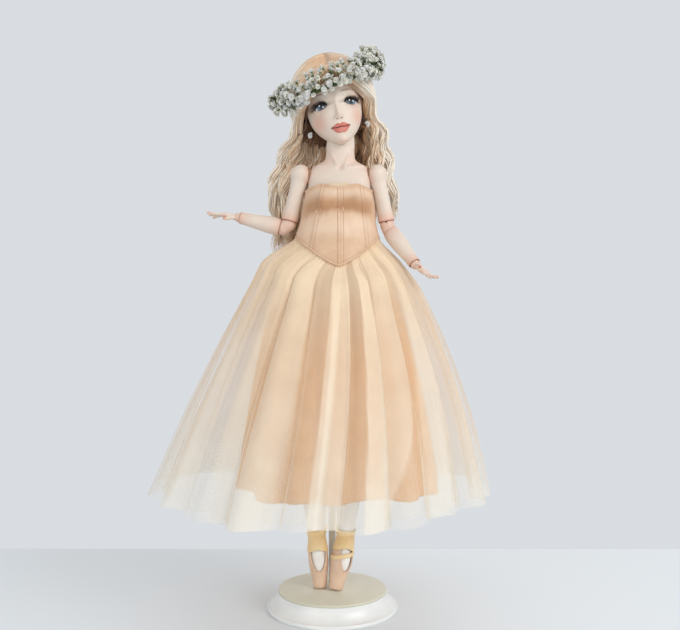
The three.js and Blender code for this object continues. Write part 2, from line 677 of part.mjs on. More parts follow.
// Upper lashes: a thin curved strip that stands off the lid
function makeLash(name, eye) {
  const rings = [];
  for (let i = 0; i <= 8; i += 1) {
    const turn = (Math.PI * i) / 8;
    const x = eye.x + lash.halfWidth * Math.cos(turn);
    const z = eye.z + lash.rise * Math.sin(turn);
    const offBall = Math.min(head.eyeBall, Math.hypot(x - eye.x, z - eye.z));
    const ballFront = eye.y - Math.sqrt(head.eyeBall ** 2 - offBall ** 2) - seam;
    const y = Math.min(faceDepth(x, z) - lash.standOff, ballFront);
    const low = V(x, y, z);
    const high = V(x, y - lash.length * 0.5, z + lash.length);
    const thin = V(0, -lash.thickness, 0);
    rings.push([low, high, high.clone().add(thin), low.clone().add(thin)]);
  }
  add(name, skin(rings), finish('#1c1615', 0.8), headFrame);
}

function makeEarring(name, side) {
  const seat = V(side * (head.halfWidth + head.earring + seam), -head.halfDepth * 0.12, -head.down * 0.56);
  const flower = new THREE.IcosahedronGeometry(head.earring, 1);
  const mesh = add(name, solid(flower), finish('#f6f2ea', 0.3), headFrame);
  mesh.position.copy(seat);
}

// Liner and hook of the neck
function makeNeck() {
  const frame = new THREE.Group();
  frame.position.copy(neck);
  frame.rotation.copy(headFrame.rotation);
  doll.add(frame);
  add('neck_liner', cupShell(torso.neckBall, deg(liner.neckReach), liner.neckHoleShare), suede(), frame);
  const radius = head.hookRadius;
  const seatHeight = torso.neckBall + cupGap(torso.neckBall) + head.hookBore / 2;
  const post = rod(V(0, 0, torso.neckBall + radius), V(0, 0, seatHeight + radius), radius);
  const bar = rod(V(-head.hookBar / 2, 0, seatHeight), V(head.hookBar / 2, 0, seatHeight), radius);
  add('neck_hook', join(post, bar), steel(), frame);
}

// Wig: a full head of hair over the skull, with the face left open
function makeWig() {
  const wider = wig.hemHalfWidth / wig.halfWidth;
  const domeShares = [[0.99, 0.14], [0.92, 0.39], [0.76, 0.65], [0.53, 0.85], [0.26, 0.966], [0, 1]];
  const rows = [...domeShares.map(([up, wide]) => [wig.rise + wig.halfHeight * up, wide]), [-wig.bottom, wider]];
  const bulk = skin(rows.map(([z, wide]) => ellipse(
    V(0, wig.setBack, z), V(wig.halfWidth * wide, 0, 0), V(0, wig.halfDepth * wide, 0), facets.round + 4,
  )));
  const inner = solid(skin(headShares.map((row) => headRing(row[0], wig.lift, facets.round + 4))));
  const faceHalf = head.eyeHalfSpacing + head.eyeBall + wig.besideEyes;
  const faceTop = wig.hairlineTop;
  const drop = head.down * 0.45;
  const far = head.up * 2;
  const faceRings = [-far, -head.halfDepth * 0.15].map((y) => ellipse(
    V(0, y, -drop), V(faceHalf, 0, 0), V(0, 0, faceTop + drop), facets.round,
  ));
  const nape = neckInHead.clone().setZ(-head.down * 0.5);
  const neckRoom = rod(neckInHead.clone().setZ(-far), nape, head.halfWidth, 14);
  const cheekRoom = block(V(-far, -far, -far), V(far, wig.sideFront, -head.down * 0.1));
  const body = cut(solid(bulk), inner, solid(skin(faceRings)), neckRoom, cheekRoom);
  add('wig_crown', body, hairFinish(), headFrame);
}

// Long hair below the wig: a lock down a curve, flat towards the back and thin at its end.
// Rows of [share down, width share, depth share].
const lockShares = [
  [0, 0.72, 0.8], [0.15, 0.86, 1], [0.35, 1, 1.05], [0.55, 1.04, 1], [0.75, 0.92, 0.85],
  [0.92, 0.6, 0.6], [1, 0.25, 0.3],
];

function lock(name, x, y, bottom, half, depth, sides) {
  const top = neck.z;
  const spread = x > neck.x ? 1 : -1;
  const wide = Math.abs(x - neck.x) > half ? 1 : 0;
  const start = V(neck.x + (x - neck.x) * 0.72, y - depth, top);
  const end = V(x, y, bottom);
  const middle = start.clone().lerp(end, 0.45).add(V(spread * wide * depth * 0.6, depth * 0.5, 0));
  const path = new THREE.CatmullRomCurve3([start, middle, end]);
  const rings = lockShares.map(([share, across, deep]) => ellipse(
    path.getPoint(share), V(half * across, 0, 0), V(0, depth * deep, 0), sides,
  ));
  const far = head.up * 3;
  const above = new THREE.BoxGeometry(far, far, far);
  above.translate(0, 0, far / 2 - wig.bottom - wig.split);
  headFrame.updateWorldMatrix(true, false);
  above.applyMatrix4(headFrame.matrixWorld);
  add(name, cut(solid(skin(rings)), solid(above)), hairFinish());
}

function makeHairFall() {
  lock('hair_right', wig.rightX, wig.sideY, wig.rightBottom, wig.lockHalf, wig.lockDepth, 10);
  lock('hair_left', wig.leftX, wig.sideY, wig.leftBottom, wig.lockHalf, wig.lockDepth, 10);
  lock('hair_back', wig.backX, wig.backY, wig.backBottom, wig.backHalf, wig.lockDepth, 12);
}

// Wreath of small white flowers on a twisted stem
function makeWreath() {
  const frame = new THREE.Group();
  frame.position.set(0, 0, wreath.rise);
  frame.rotation.set(deg(wreath.tiltFront), -deg(wreath.tiltSide - head.roll), 0, 'YXZ');
  headFrame.add(frame);
  const around = 24;
  const rings = Array.from({ length: around }, (_, i) => {
    const turn = (2 * Math.PI * i) / around;
    const out = V(Math.cos(turn), Math.sin(turn), 0);
    const centre = V(wreath.halfWidth * out.x, wreath.halfDepth * out.y, 0);
    return ellipse(centre, out.clone().multiplyScalar(wreath.tube), V(0, 0, wreath.tube), 5);
  });
  add('wreath_ring', skin(rings, true), finish('#3d5230', 0.8), frame);
  for (const [side, spray] of Object.entries(wreath.sprays)) {
    const blobs = [];
    for (let i = 0; i < spray.blobs; i += 1) {
      const turn = deg(spray.fromAngle + ((spray.toAngle - spray.fromAngle) * (i + 0.5)) / spray.blobs);
      const wave = i * 2.4;
      const out = wreath.tube + wreath.sprayBlob + seam + wreath.floret * (0.6 + 0.5 * Math.sin(wave));
      const centre = V(
        (wreath.halfWidth + out) * Math.cos(turn),
        (wreath.halfDepth + out) * Math.sin(turn),
        wreath.floret * Math.cos(wave * 1.7),
      );
      const blob = new THREE.IcosahedronGeometry(wreath.sprayBlob, 0);
      blob.rotateX(wave);
      blob.translate(centre.x, centre.y, centre.z);
      blobs.push(solid(blob));
    }
    add(`flower_spray_${side}`, join(...blobs), finish('#f4f3ea', 0.8), frame);
  }
}

// Arms
const upperArmShares = [[0.06, 1.08], [0.16, 1.04], [0.35, 0.97], [0.6, 0.97], [0.85, 1], [1, 1.04]];
const forearmShares = [[0, 0.98], [0.12, 1.04], [0.3, 1.03], [0.55, 0.92], [0.8, 0.78], [1, 0.735]];

function elbowPiece(radius, step, bore) {
  const lobes = join(ball(V(0, 0, 0), radius), ball(V(0, 0, -step), radius));
  return cut(lobes, rod(V(0, 0, radius + cutOverrun), V(0, 0, -step - radius - cutOverrun), bore));
}

// A cut away end for a ball at a centre, seen from the limb
function withCups(body, length, near, far) {
  const tools = [];
  if (near) tools.push(cupBall(V(0, 0, 0), near));
  if (far) tools.push(cupBall(V(0, 0, -length), far));
  return cut(body, ...tools);
}

function makeArm(side, shoulder, wrist, tip, swing, thumbWay) {
  const hang = V(Math.sin(deg(swing)), 0, -Math.cos(deg(swing)));
  const elbowUpper = hang.multiplyScalar(arm.upper).add(shoulder);
  const down = elbowUpper.clone().sub(shoulder).normalize();
  const across = down.clone().cross(wrist.clone().sub(elbowUpper)).normalize();
  const bend = down.angleTo(wrist.clone().sub(elbowUpper)) / 2;
  const elbowLower = down.clone().applyAxisAngle(across, bend).multiplyScalar(arm.elbowStep).add(elbowUpper);
  const foreLength = wrist.distanceTo(elbowLower);

  const inward = V(Math.sign(torso.lean - shoulder.x), 0, 0);
  const linerGroup = limbGroup(shoulder, shoulder.clone().sub(inward), V(0, 1, 0));
  add(`shoulder_liner_${side}`, cupShell(torso.shoulderBall, deg(liner.shoulderReach)), suede(), linerGroup);

  const upperGroup = limbGroup(shoulder, elbowUpper, across);
  const upperLength = arm.upper - arm.cupRise;
  const upper = join(limb(upperLength, arm.upperRadius, upperArmShares), ball(V(0, 0, 0), torso.shoulderBall));
  const bore = rod(V(0, 0, torso.shoulderBall + cutOverrun), V(0, 0, -arm.upper), arm.bore, 8);
  add(`upper_arm_${side}`, cut(withCups(upper, arm.upper, 0, arm.elbowBall + seam), bore), resin(), upperGroup);

  const elbowGroup = limbGroup(elbowUpper, elbowLower, across);
  add(`elbow_${side}`, elbowPiece(arm.elbowBall, arm.elbowStep, arm.bore), resin(), elbowGroup);

  const foreGroup = limbGroup(elbowLower, wrist, across);
  const start = arm.cupRise;
  const span = foreLength - arm.wristCupRise - start;
  const rows = forearmShares.map(([along, wide]) => [(start + span * along) / foreLength, wide]);
  const fore = limb(foreLength, arm.foreRadius, rows);
  const foreBore = rod(V(0, 0, 0), V(0, 0, -foreLength), arm.bore, 8);
  const forearm = cut(withCups(fore, foreLength, arm.elbowBall + seam, arm.wristBall + seam), foreBore);
  add(`forearm_${side}`, forearm, resin(), foreGroup);

  const foreDown = wrist.clone().sub(elbowLower).normalize();
  makeHand(side, wrist, tip, thumbWay, foreDown, arm.hookReach);
}

// Hand frame: -Z to the fingertips, +X to the thumb. It bends about X.
function makeHand(side, wrist, tip, thumbWay, foreDown, reach) {
  const hinge = thumbWay.clone().addScaledVector(foreDown, -thumbWay.dot(foreDown)).normalize();
  const straight = tip.clone().sub(wrist);
  straight.addScaledVector(hinge, -straight.dot(hinge));
  const group = limbGroup(wrist, wrist.clone().add(straight), hinge);
  const palmShares = [[0.22, 0.6, 1.1], [0.39, 0.72, 1.05], [0.65, 0.9, 1], [0.97, 1, 0.95], [1.19, 0.97, 0.7]];
  const rings = palmShares.map(([down, wide, thick]) => ellipse(
    V(0, 0, -down * arm.palmLength), V(arm.palmHalf * wide, 0, 0), V(0, arm.palmThick * thick, 0), 10,
  ));
  let body = join(ball(V(0, 0, 0), arm.wristBall), solid(skin(rings)));
  const fingerShares = [[0.72, 0.92, 0.1], [0.26, 1, 0.02], [-0.24, 0.94, -0.05], [-0.72, 0.76, -0.13]];
  for (const [offset, length, spread] of fingerShares) body = join(body, finger(offset, length, spread));
  body = join(body, thumb());

  // The hook inside the wrist ball: a cross pin and a shank that runs up the forearm's bore
  const hookGroup = limbGroup(wrist, wrist.clone().add(foreDown), hinge);
  const pinHalf = arm.wristBall * 0.72;
  const gap = arm.hookGap;
  body = cut(body, rod(V(-pinHalf - gap, 0, 0), V(pinHalf + gap, 0, 0), arm.hookPin + gap, 10));
  const mouth = arm.wristBall + cutOverrun;
  for (const angle of arm.hookSlotAngles) {
    const slot = new THREE.BoxGeometry(arm.hookSlot, arm.hookSlot * 1.3, mouth);
    slot.translate(0, 0, mouth / 2);
    slot.rotateX(deg(angle));
    slot.applyMatrix4(hookGroup.matrix.compose(hookGroup.position, hookGroup.quaternion, hookGroup.scale));
    body = cut(body, seenFrom(group, solid(slot)));
  }
  add(`hand_${side}`, body, resin(), group);

  const pin = rod(V(-pinHalf, 0, 0), V(pinHalf, 0, 0), arm.hookPin, 8);
  const shank = rod(V(0, 0, 0), V(0, 0, reach), arm.hookShank, 8);
  add(`hand_hook_${side}`, join(pin, shank), steel(), hookGroup);
}

// A finger that curls a little towards the palm (+Y)
function finger(offset, reach, spread) {
  const root = V(arm.palmHalf * offset, 0, -arm.palmLength * 1.02);
  const length = (arm.handLength - arm.palmLength) * reach;
  const curlShares = [[0, 1.02, 0], [0.45, 1, 0.02], [0.84, 0.8, 0.14], [1, 0.4, 0.21]];
  return solid(skin(curlShares.map(([along, wide, curl]) => ellipse(
    root.clone().add(V(length * along * spread * 2, length * curl, -length * along)),
    V(arm.fingerRadius * wide, 0, 0), V(0, arm.fingerRadius * wide, 0), 5,
  ))));
}

function thumb() {
  const root = V(arm.palmHalf * 0.55, arm.palmThick * 0.3, -arm.palmLength * 0.45);
  const thumbShares = [[0, 1.3], [0.5, 1.2], [0.9, 0.9], [1.02, 0.4]];
  const way = V(0.62, 0.28, -0.74).normalize().multiplyScalar(arm.thumbLength);
  return solid(skin(thumbShares.map(([along, wide]) => ellipse(
    root.clone().addScaledVector(way, along),
    V(arm.fingerRadius * wide, 0, 0), V(0, arm.fingerRadius * wide, 0), 5,
  ))));
}

// Legs
const thighShares = [
  [0.03, 0.6], [0.12, 0.8], [0.2, 0.97], [0.32, 1.02], [0.5, 1], [0.72, 0.88], [0.9, 0.78], [1, 0.77],
];
const shinShares = [[0, 0.83], [0.14, 0.9], [0.35, 1], [0.55, 1], [0.72, 0.9], [0.86, 0.72], [1, 0.645]];
const footShares = [
  [0.1, 0.84, 0.3], [0.28, 1, 0.35], [0.5, 1.08, 0.3], [0.75, 0.86, 0.12], [0.93, 0.7, 0.02], [0.985, 0.62, 0],
];

function makeLeg(side, hip, kneeX, ankle, toe, kneeTurn, footTurn) {
  const kneeUpper = V(kneeX, leg.kneeY, leg.kneeUpperZ);
  const kneeLower = V(kneeX, leg.kneeY, leg.kneeLowerZ);
  const hinge = V(Math.cos(deg(kneeTurn)), Math.sin(deg(kneeTurn)), 0);
  const linerGroup = limbGroup(hip, hip.clone().setZ(0), V(1, 0, 0));
  add(`hip_liner_${side}`, cupShell(torso.hipBall, deg(liner.hipReach)), suede(), linerGroup);

  const thighGroup = limbGroup(hip, kneeUpper, V(1, 0, 0));
  const thighLength = hip.distanceTo(kneeUpper);
  const rows = thighShares.map(([along, wide]) => [(along * (thighLength - leg.cupRise)) / thighLength, wide]);
  const thigh = join(limb(thighLength, leg.thighRadius, rows), ball(V(0, 0, 0), torso.hipBall));
  const thighBore = rod(V(0, 0, torso.hipBall + cutOverrun), V(0, 0, -thighLength), leg.bore, 8);
  add(`thigh_${side}`, cut(withCups(thigh, thighLength, 0, leg.kneeBall + seam), thighBore), resin(), thighGroup);

  const kneeGroup = limbGroup(kneeUpper, kneeLower, hinge);
  const step = kneeUpper.distanceTo(kneeLower);
  add(`knee_${side}`, elbowPiece(leg.kneeBall, step, leg.bore), resin(), kneeGroup);

  const shinGroup = limbGroup(kneeLower, ankle, hinge);
  const shinLength = kneeLower.distanceTo(ankle);
  const span = shinLength - leg.ankleCupRise - leg.cupRise;
  const shinRows = shinShares.map(([along, wide]) => [(leg.cupRise + span * along) / shinLength, wide]);
  const shin = limb(shinLength, leg.calfRadius, shinRows);
  const shinBore = rod(V(0, 0, 0), V(0, 0, -shinLength), leg.bore, 8);
  const shinCups = withCups(shin, shinLength, leg.kneeBall + seam, leg.ankleBall + seam);
  add(`shin_${side}`, cut(shinCups, shinBore), resin(), shinGroup);

  const bandTop = -shinLength + ribbon.above + ribbon.height;
  const bandRings = [[0, bandTop], [0, bandTop - ribbon.height], [1, bandTop - ribbon.height], [1, bandTop]];
  const nearAnkle = (z) => leg.calfRadius * follow(shinRows, -z / shinLength) + seam;
  add(`shoe_ribbon_${side}`, skin(bandRings.map(([inside, z]) => {
    const wide = nearAnkle(z) + (inside ? 0 : ribbon.thickness);
    return ellipse(V(0, 0, z), V(wide, 0, 0), V(0, wide, 0), facets.limb);
  }), true), satin('#e6b97d'), shinGroup);

  makeFoot(side, ankle, toe, footTurn);
}

// Foot on its toes. Frame: -Z to the toe, +X across, -Y over the instep.
function makeFoot(side, ankle, toe, turn) {
  const group = limbGroup(ankle, toe, V(Math.cos(deg(turn)), Math.sin(deg(turn)), 0));
  const length = ankle.distanceTo(toe);
  const outline = (grow, scale = 1) => footShares.map(([along, wide, forward]) => ellipse(
    V(0, -leg.ankleBall * forward * 0.35, -length * along * scale),
    V(leg.ankleRadius * wide + grow, 0, 0), V(0, leg.ankleRadius * wide * 1.08 + grow, 0), facets.limb,
  ));
  const toeCap = shoe.wall + seam;
  const footBody = solid(skin(outline(-shoe.wall, (length - toeCap) / length)));
  const foot = join(footBody, ball(V(0, 0, 0), leg.ankleBall));
  const bore = rod(V(0, 0, leg.ankleBall + cutOverrun), V(0, 0, -leg.ankleBall * 0.6), leg.bore, 8);
  add(`foot_${side}`, cut(foot, bore), finish('#efe6dc', 0.6), group);

  const shell = solid(skin(outline(seam + shoe.wall / 2)));
  const room = solid(skin(outline(seam - shoe.wall, (length - toeCap + seam) / length)));
  const ankleRoom = ball(V(0, 0, 0), leg.ankleBall + seam);
  const vampShares = [[1.15, 1.1], [0.6, 0.55]];
  const vamp = solid(skin([cutOverrun, -shoe.vampDrop].map((z, i) => ellipse(
    V(0, -leg.ankleRadius * 1.25, z), V(shoe.openingHalf * vampShares[i][0], 0, 0),
    V(0, leg.ankleRadius * vampShares[i][1], 0), 14,
  ))));
  const collar = block(V(-length, -length, -shoe.heelDrop), V(length, length, length));
  const ground = seenFrom(group, block(V(-length, -length, -length), V(length, length, toe.z)));
  add(`pointe_shoe_${side}`, cut(shell, room, ankleRoom, vamp, collar, ground), satin('#cda587'), group);
}

makeStand();
makeTorso();
makeElastics();
makeCorset();
makeLace();
makeLacing();
makeSkirt('underskirt', lining, liningShares, tulle.thickness + clothGap, 30, 6, satin('#e1b991'));
makeSkirt('tulle_overskirt', tulle, tulleShares, 0, 56, 7, finish('#f0e1c3', 0.9));
makeHead();
makeNeck();
makeWig();
makeHairFall();
makeWreath();
const wristRight = V(reach.wristRightX, reach.wristRightY, reach.wristRightZ);
const wristLeft = V(reach.wristLeftX, reach.wristLeftY, reach.wristLeftZ);
const tipRight = wristRight.clone().add(V(reach.handRightX, reach.handRightY, reach.handRightZ));
const tipLeft = wristLeft.clone().add(V(reach.handLeftX, reach.handLeftY, reach.handLeftZ));
makeArm('right', shoulders.right, wristRight, tipRight, armSwing.right, V(0, -1, 0));
makeArm('left', shoulders.left, wristLeft, tipLeft, armSwing.left, V(-0.5, -0.8, 0));
const tiptoe = stand.height + toes.above;
const ankleRight = V(leg.ankleRightX, leg.ankleY, leg.ankleZ);
const ankleLeft = V(leg.ankleLeftX, leg.ankleY, leg.ankleZ);
const toeRight = V(toes.rightX, toes.rightY, tiptoe);
const toeLeft = V(toes.leftX, toes.leftY, tiptoe);
makeLeg('right', hips.right, -leg.kneeX, ankleRight, toeRight, turnOut.kneeRight, turnOut.footRight);
makeLeg('left', hips.left, leg.kneeX, ankleLeft, toeLeft, turnOut.kneeLeft, turnOut.footLeft);

export default doll;
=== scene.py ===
"""A strung ball-jointed doll in a ballet dress, with wig, flower wreath and pointe shoes, held on
tiptoe by a round display stand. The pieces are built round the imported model, in its own frame."""

import json
import math

import bpy
import numpy as np
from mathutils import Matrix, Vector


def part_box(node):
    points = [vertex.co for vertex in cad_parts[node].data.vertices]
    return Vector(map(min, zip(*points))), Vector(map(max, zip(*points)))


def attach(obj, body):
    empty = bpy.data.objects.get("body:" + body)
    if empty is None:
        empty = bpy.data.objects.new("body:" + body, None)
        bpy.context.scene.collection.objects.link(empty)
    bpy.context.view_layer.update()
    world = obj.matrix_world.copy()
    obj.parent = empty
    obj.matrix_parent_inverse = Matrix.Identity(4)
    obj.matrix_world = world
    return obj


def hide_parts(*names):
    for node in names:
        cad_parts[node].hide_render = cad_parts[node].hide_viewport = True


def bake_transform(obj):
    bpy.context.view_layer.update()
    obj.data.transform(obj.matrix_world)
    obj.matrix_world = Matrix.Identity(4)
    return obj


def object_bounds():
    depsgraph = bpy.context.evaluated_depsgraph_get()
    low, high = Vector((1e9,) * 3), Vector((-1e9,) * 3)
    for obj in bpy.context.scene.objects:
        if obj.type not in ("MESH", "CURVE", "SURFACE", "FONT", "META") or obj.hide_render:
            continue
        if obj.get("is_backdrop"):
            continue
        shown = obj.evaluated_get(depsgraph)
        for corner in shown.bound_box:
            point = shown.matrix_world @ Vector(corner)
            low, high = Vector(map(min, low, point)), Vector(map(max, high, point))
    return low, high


bl_info = {
    "name": "Ballet doll on a stand",
    "version": (1, 0, 0),
    "blender": (4, 5, 0),
    "location": "3D View > Sidebar > Doll",
    "description": "Builds a dressed ball-jointed doll, piece by piece",
    "category": "Add Mesh",
}

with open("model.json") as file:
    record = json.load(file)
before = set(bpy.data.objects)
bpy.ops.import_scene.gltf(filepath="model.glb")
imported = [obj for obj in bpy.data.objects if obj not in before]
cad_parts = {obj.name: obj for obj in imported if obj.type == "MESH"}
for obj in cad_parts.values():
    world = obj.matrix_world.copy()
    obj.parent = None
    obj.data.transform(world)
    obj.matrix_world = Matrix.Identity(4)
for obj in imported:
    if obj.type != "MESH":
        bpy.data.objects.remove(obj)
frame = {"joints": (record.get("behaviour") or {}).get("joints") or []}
cad_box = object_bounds()

# Places are in millimetres until a mesh is made
MM = 1000
joints = {joint["name"]: joint for joint in frame["joints"]}


def pivot(name):
    return np.array(joints[name]["pos_m"]) * MM


def unit(vector):
    vector = np.asarray(vector, float)
    return vector / np.linalg.norm(vector, axis=-1, keepdims=True)


def hinge(name):
    return unit(joints[name]["axis"])


def shade(text):
    """Linear colour of a hex value."""
    parts = [int(text[i:i + 2], 16) / 255 for i in (1, 3, 5)]
    return tuple(c / 12.92 if c <= 0.04045 else ((c + 0.055) / 1.055) ** 2.4 for c in parts)


# Head frame: origin at the middle of the skull, -Y to the face, +Z to the crown
HEAD_CENTRE = np.array([1.6, 3.5, 498.5])
HEAD_ROLL = math.radians(12)
HEAD_YAW = math.radians(3.5)


def turn_matrix(axis, angle):
    """Rotation about X, Y or Z."""
    a, b = {"X": (1, 2), "Y": (2, 0), "Z": (0, 1)}[axis]
    matrix = np.eye(3)
    matrix[a, a] = matrix[b, b] = math.cos(angle)
    matrix[b, a] = math.sin(angle)
    matrix[a, b] = -matrix[b, a]
    return matrix


HEAD_TURN = turn_matrix("Y", -HEAD_ROLL) @ turn_matrix("Z", HEAD_YAW)


def from_head(points):
    """Places in the doll's frame of places in the head's."""
    return HEAD_CENTRE + np.asarray(points) @ HEAD_TURN.T


def into_head(points):
    return (np.asarray(points) - HEAD_CENTRE) @ HEAD_TURN


# Curves and falloffs, all on whole arrays
def curve(rows, share, column=1):
    """Value at each share: a cubic through the rows, with the slopes that the rows have."""
    rows = np.asarray(rows, float)
    place, value = rows[:, 0], rows[:, column]
    slope = np.gradient(value, place)
    share = np.clip(share, place[0], place[-1])
    i = np.clip(np.searchsorted(place, share) - 1, 0, len(place) - 2)
    wide = place[i + 1] - place[i]
    t = (share - place[i]) / wide
    start = (2 * t ** 3 - 3 * t ** 2 + 1) * value[i] + (t ** 3 - 2 * t ** 2 + t) * wide * slope[i]
    end = (3 * t ** 2 - 2 * t ** 3) * value[i + 1] + (t ** 3 - t ** 2) * wide * slope[i + 1]
    return start + end


def full_turn(count):
    """That many angles in even steps round a full turn, without the last, which is the first again."""
    return np.linspace(0, 2 * np.pi, count, False)


def bell(place, centre, half):
    """1 at the centre, fading as a bell curve of that half width."""
    return np.exp(-(((place - centre) / half) ** 2))


def ease(low, high, value):
    """0 below low, 1 above high, smooth between."""
    t = np.clip((value - low) / (high - low), 0, 1)
    return t * t * (3 - 2 * t)


# Meshes
def add_layer(mesh, label, kind, data):
    """Numbers (FLOAT) or colours (FLOAT_COLOR) on the mesh's points, under that name."""
    layer = mesh.attributes.get(label) or mesh.attributes.new(label, kind, "POINT")
    layer.data.foreach_set("value" if kind == "FLOAT" else "color", np.asarray(data, np.float32).ravel())


def outward_sum(points, faces):
    """Sum over the faces of area normal times place, above zero where the faces point outwards."""
    corners = points[faces] - points.mean(0)
    if faces.shape[1] == 4:
        normal = np.cross(corners[:, 2] - corners[:, 0], corners[:, 3] - corners[:, 1])
    else:
        normal = np.cross(corners[:, 1] - corners[:, 0], corners[:, 2] - corners[:, 0])
    return float((normal * corners.mean(1)).sum())


def link_mesh(name, points, faces):
    """A new object in the scene, whose mesh has these points, in millimetres, and faces."""
    mesh = bpy.data.meshes.new(name)
    mesh.from_pydata((points / MM).tolist(), [], faces)
    made = bpy.data.objects.new(name, mesh)
    bpy.context.scene.collection.objects.link(made)
    return made


def make_object(name, points, groups, uv=None, values=None, paint=None, turn=True):
    """A mesh object of points and groups of faces. uv has a pair for each corner of the first group,
    values one number for each point, and paint one colour and strength for each point."""
    points = np.asarray(points, float)
    if turn and sum(outward_sum(points, faces) for faces in groups) < 0:
        groups = [faces[:, ::-1] for faces in groups]
        uv = None if uv is None else uv.reshape(len(groups[0]), -1, 2)[:, ::-1].reshape(-1, 2)
    made = link_mesh(name, points, [face for faces in groups for face in faces.tolist()])
    mesh = made.data
    for label, data in (values or {}).items():
        add_layer(mesh, label, "FLOAT", data)
    if paint is not None:
        add_layer(mesh, "paint", "FLOAT_COLOR", paint)
    if uv is not None:
        corners = np.zeros((len(mesh.loops), 2), np.float32)
        corners[:len(uv)] = uv
        mesh.uv_layers.new(name="UVMap").data.foreach_set("uv", corners.ravel())
    mesh.polygons.foreach_set("use_smooth", [True] * len(mesh.polygons))
    mesh.update()
    return made


def surface(name, points, around=True, caps=(True, True), values=None, paint=None):
    """A surface over rows and columns of points, with UVs in metres. The columns go round if around,
    and each end that caps names is closed to a pole in the middle of its row."""
    rows, columns = points.shape[:2]
    i, j = np.meshgrid(np.arange(rows - 1), np.arange(columns if around else columns - 1), indexing="ij")
    k = (j + 1) % columns
    quads = np.stack([i * columns + j, i * columns + k, (i + 1) * columns + k, (i + 1) * columns + j], -1)
    quads = quads.reshape(-1, 4)
    closed = np.concatenate([points, points[:, :1]], 1) if around else points
    step_u = np.linalg.norm(np.diff(closed, axis=1), axis=-1).mean(0)
    step_v = np.linalg.norm(np.diff(closed, axis=0), axis=-1).mean(1)
    u = np.concatenate([[0], np.cumsum(step_u)]) / MM
    v = np.concatenate([[0], np.cumsum(step_v)]) / MM
    uv = np.stack([np.stack([u[j + a], v[i + b]], -1) for a, b in ((0, 0), (1, 0), (1, 1), (0, 1))], -2)
    flat = points.reshape(-1, 3)
    values = {label: np.asarray(data, float).reshape(-1) for label, data in (values or {}).items()}
    paint = None if paint is None else np.asarray(paint, float).reshape(-1, 4)
    triangles = []
    for end, row, order in ((0, 0, -1), (1, rows - 1, 1)):
        if not (around and caps[end]):
            continue
        ring = row * columns + np.arange(columns)
        pole = np.full(columns, len(flat))
        triangles.append(np.stack([pole, ring, np.roll(ring, -1)], -1)[:, ::order])
        flat = np.concatenate([flat, points[row].mean(0, keepdims=True)])
        values = {label: np.append(data, data[ring].mean()) for label, data in values.items()}
        if paint is not None:
            paint = np.concatenate([paint, paint[ring].mean(0, keepdims=True)])
    return make_object(name, flat, [quads, *triangles], uv.reshape(-1, 2), values, paint)


def frames_along(paths, reference):
    """Unit tangent, side and normal at each point of each path, from one reference direction."""
    tangent = unit(np.gradient(paths, axis=-2))
    side = unit(np.cross(tangent, np.broadcast_to(reference, tangent.shape)))
    return tangent, side, np.cross(side, tangent)


def tube_parts(paths, radii, sides=3, reference=(0.13, 1, 0.05), flat=1):
    """Points and faces of many closed tubes: a ring of that radius round each point of each path,
    pressed to the share flat across the reference direction, and a face over each end."""
    paths, radii = np.asarray(paths, float), np.asarray(radii, float)
    count, steps = paths.shape[:2]
    _, side, normal = frames_along(paths, np.asarray(reference, float))
    turn = 2 * np.pi * np.arange(sides) / sides
    ring = side[:, :, None] * np.cos(turn)[:, None] + normal[:, :, None] * (flat * np.sin(turn))[:, None]
    points = (paths[:, :, None] + radii[..., None, None] * ring).reshape(-1, 3)
    base = (np.arange(count) * steps * sides)[:, None, None]
    i, j = np.meshgrid(np.arange(steps - 1) * sides, np.arange(sides), indexing="ij")
    k = (j + 1) % sides
    quads = np.stack([i + j, i + k, i + sides + k, i + sides + j], -1)[None] + base[..., None]
    start = base[:, 0] + np.arange(sides)[::-1]
    end = base[:, 0] + (steps - 1) * sides + np.arange(sides)
    return points, [quads.reshape(-1, 4)[:, ::-1], start[:, ::-1], end[:, ::-1]]


def tubes(name, paths, radii, sides=3, values=None, **settings):
    """One object of many tubes. values has one number for each tube, or for each point of each."""
    paths = np.asarray(paths, float)
    points, groups = tube_parts(paths, radii, sides, **settings)
    spread = {}
    for label, data in (values or {}).items():
        data = np.asarray(data, float)
        data = data if data.ndim == 2 else np.repeat(data[:, None], paths.shape[1], 1)
        spread[label] = np.repeat(data.reshape(-1), sides)
    return make_object(name, points, groups, values=spread)


def closed_cord(name, points, radius, reference):
    """A round cord along a loop of points, back to the first."""
    loop = np.concatenate([points, points[:1]])
    return tubes(name, loop[None], np.full((1, len(loop)), radius), 8, reference=reference)


def copies(name, shape, faces, places, turns, sizes, values=None, tones=None):
    """Many copies of one small shape, each with its own place, turn, size and tone."""
    points = np.einsum("nij,pj->npi", turns, shape) * np.asarray(sizes)[:, None, None]
    points = (points + np.asarray(places)[:, None]).reshape(-1, 3)
    shift = np.arange(len(places)) * len(shape)
    groups = [(f[None] + shift[:, None, None]).reshape(-1, f.shape[1]) for f in faces]
    data = {label: np.tile(item, len(places)) for label, item in (values or {}).items()}
    if tones is not None:
        data["tone"] = np.repeat(tones, len(shape))
    return make_object(name, points, groups, values=data, turn=False)


def turns_towards(directions, rng):
    """Rotation matrices that point +Z along each direction, with any turn about it."""
    up = unit(directions)
    side = unit(np.cross(up, rng.normal(size=up.shape)))
    return np.stack([side, np.cross(up, side), up], -1)


def joined_parts(parts):
    """Points and faces of several shapes as one, the triangles and the quads each in a group."""
    points, groups, start = [], {}, 0
    for some_points, some_groups in parts:
        points.append(some_points)
        for faces in some_groups:
            groups.setdefault(faces.shape[1], []).append(faces + start)
        start += len(some_points)
    return np.concatenate(points), [np.concatenate(groups[size]) for size in sorted(groups, reverse=True)]


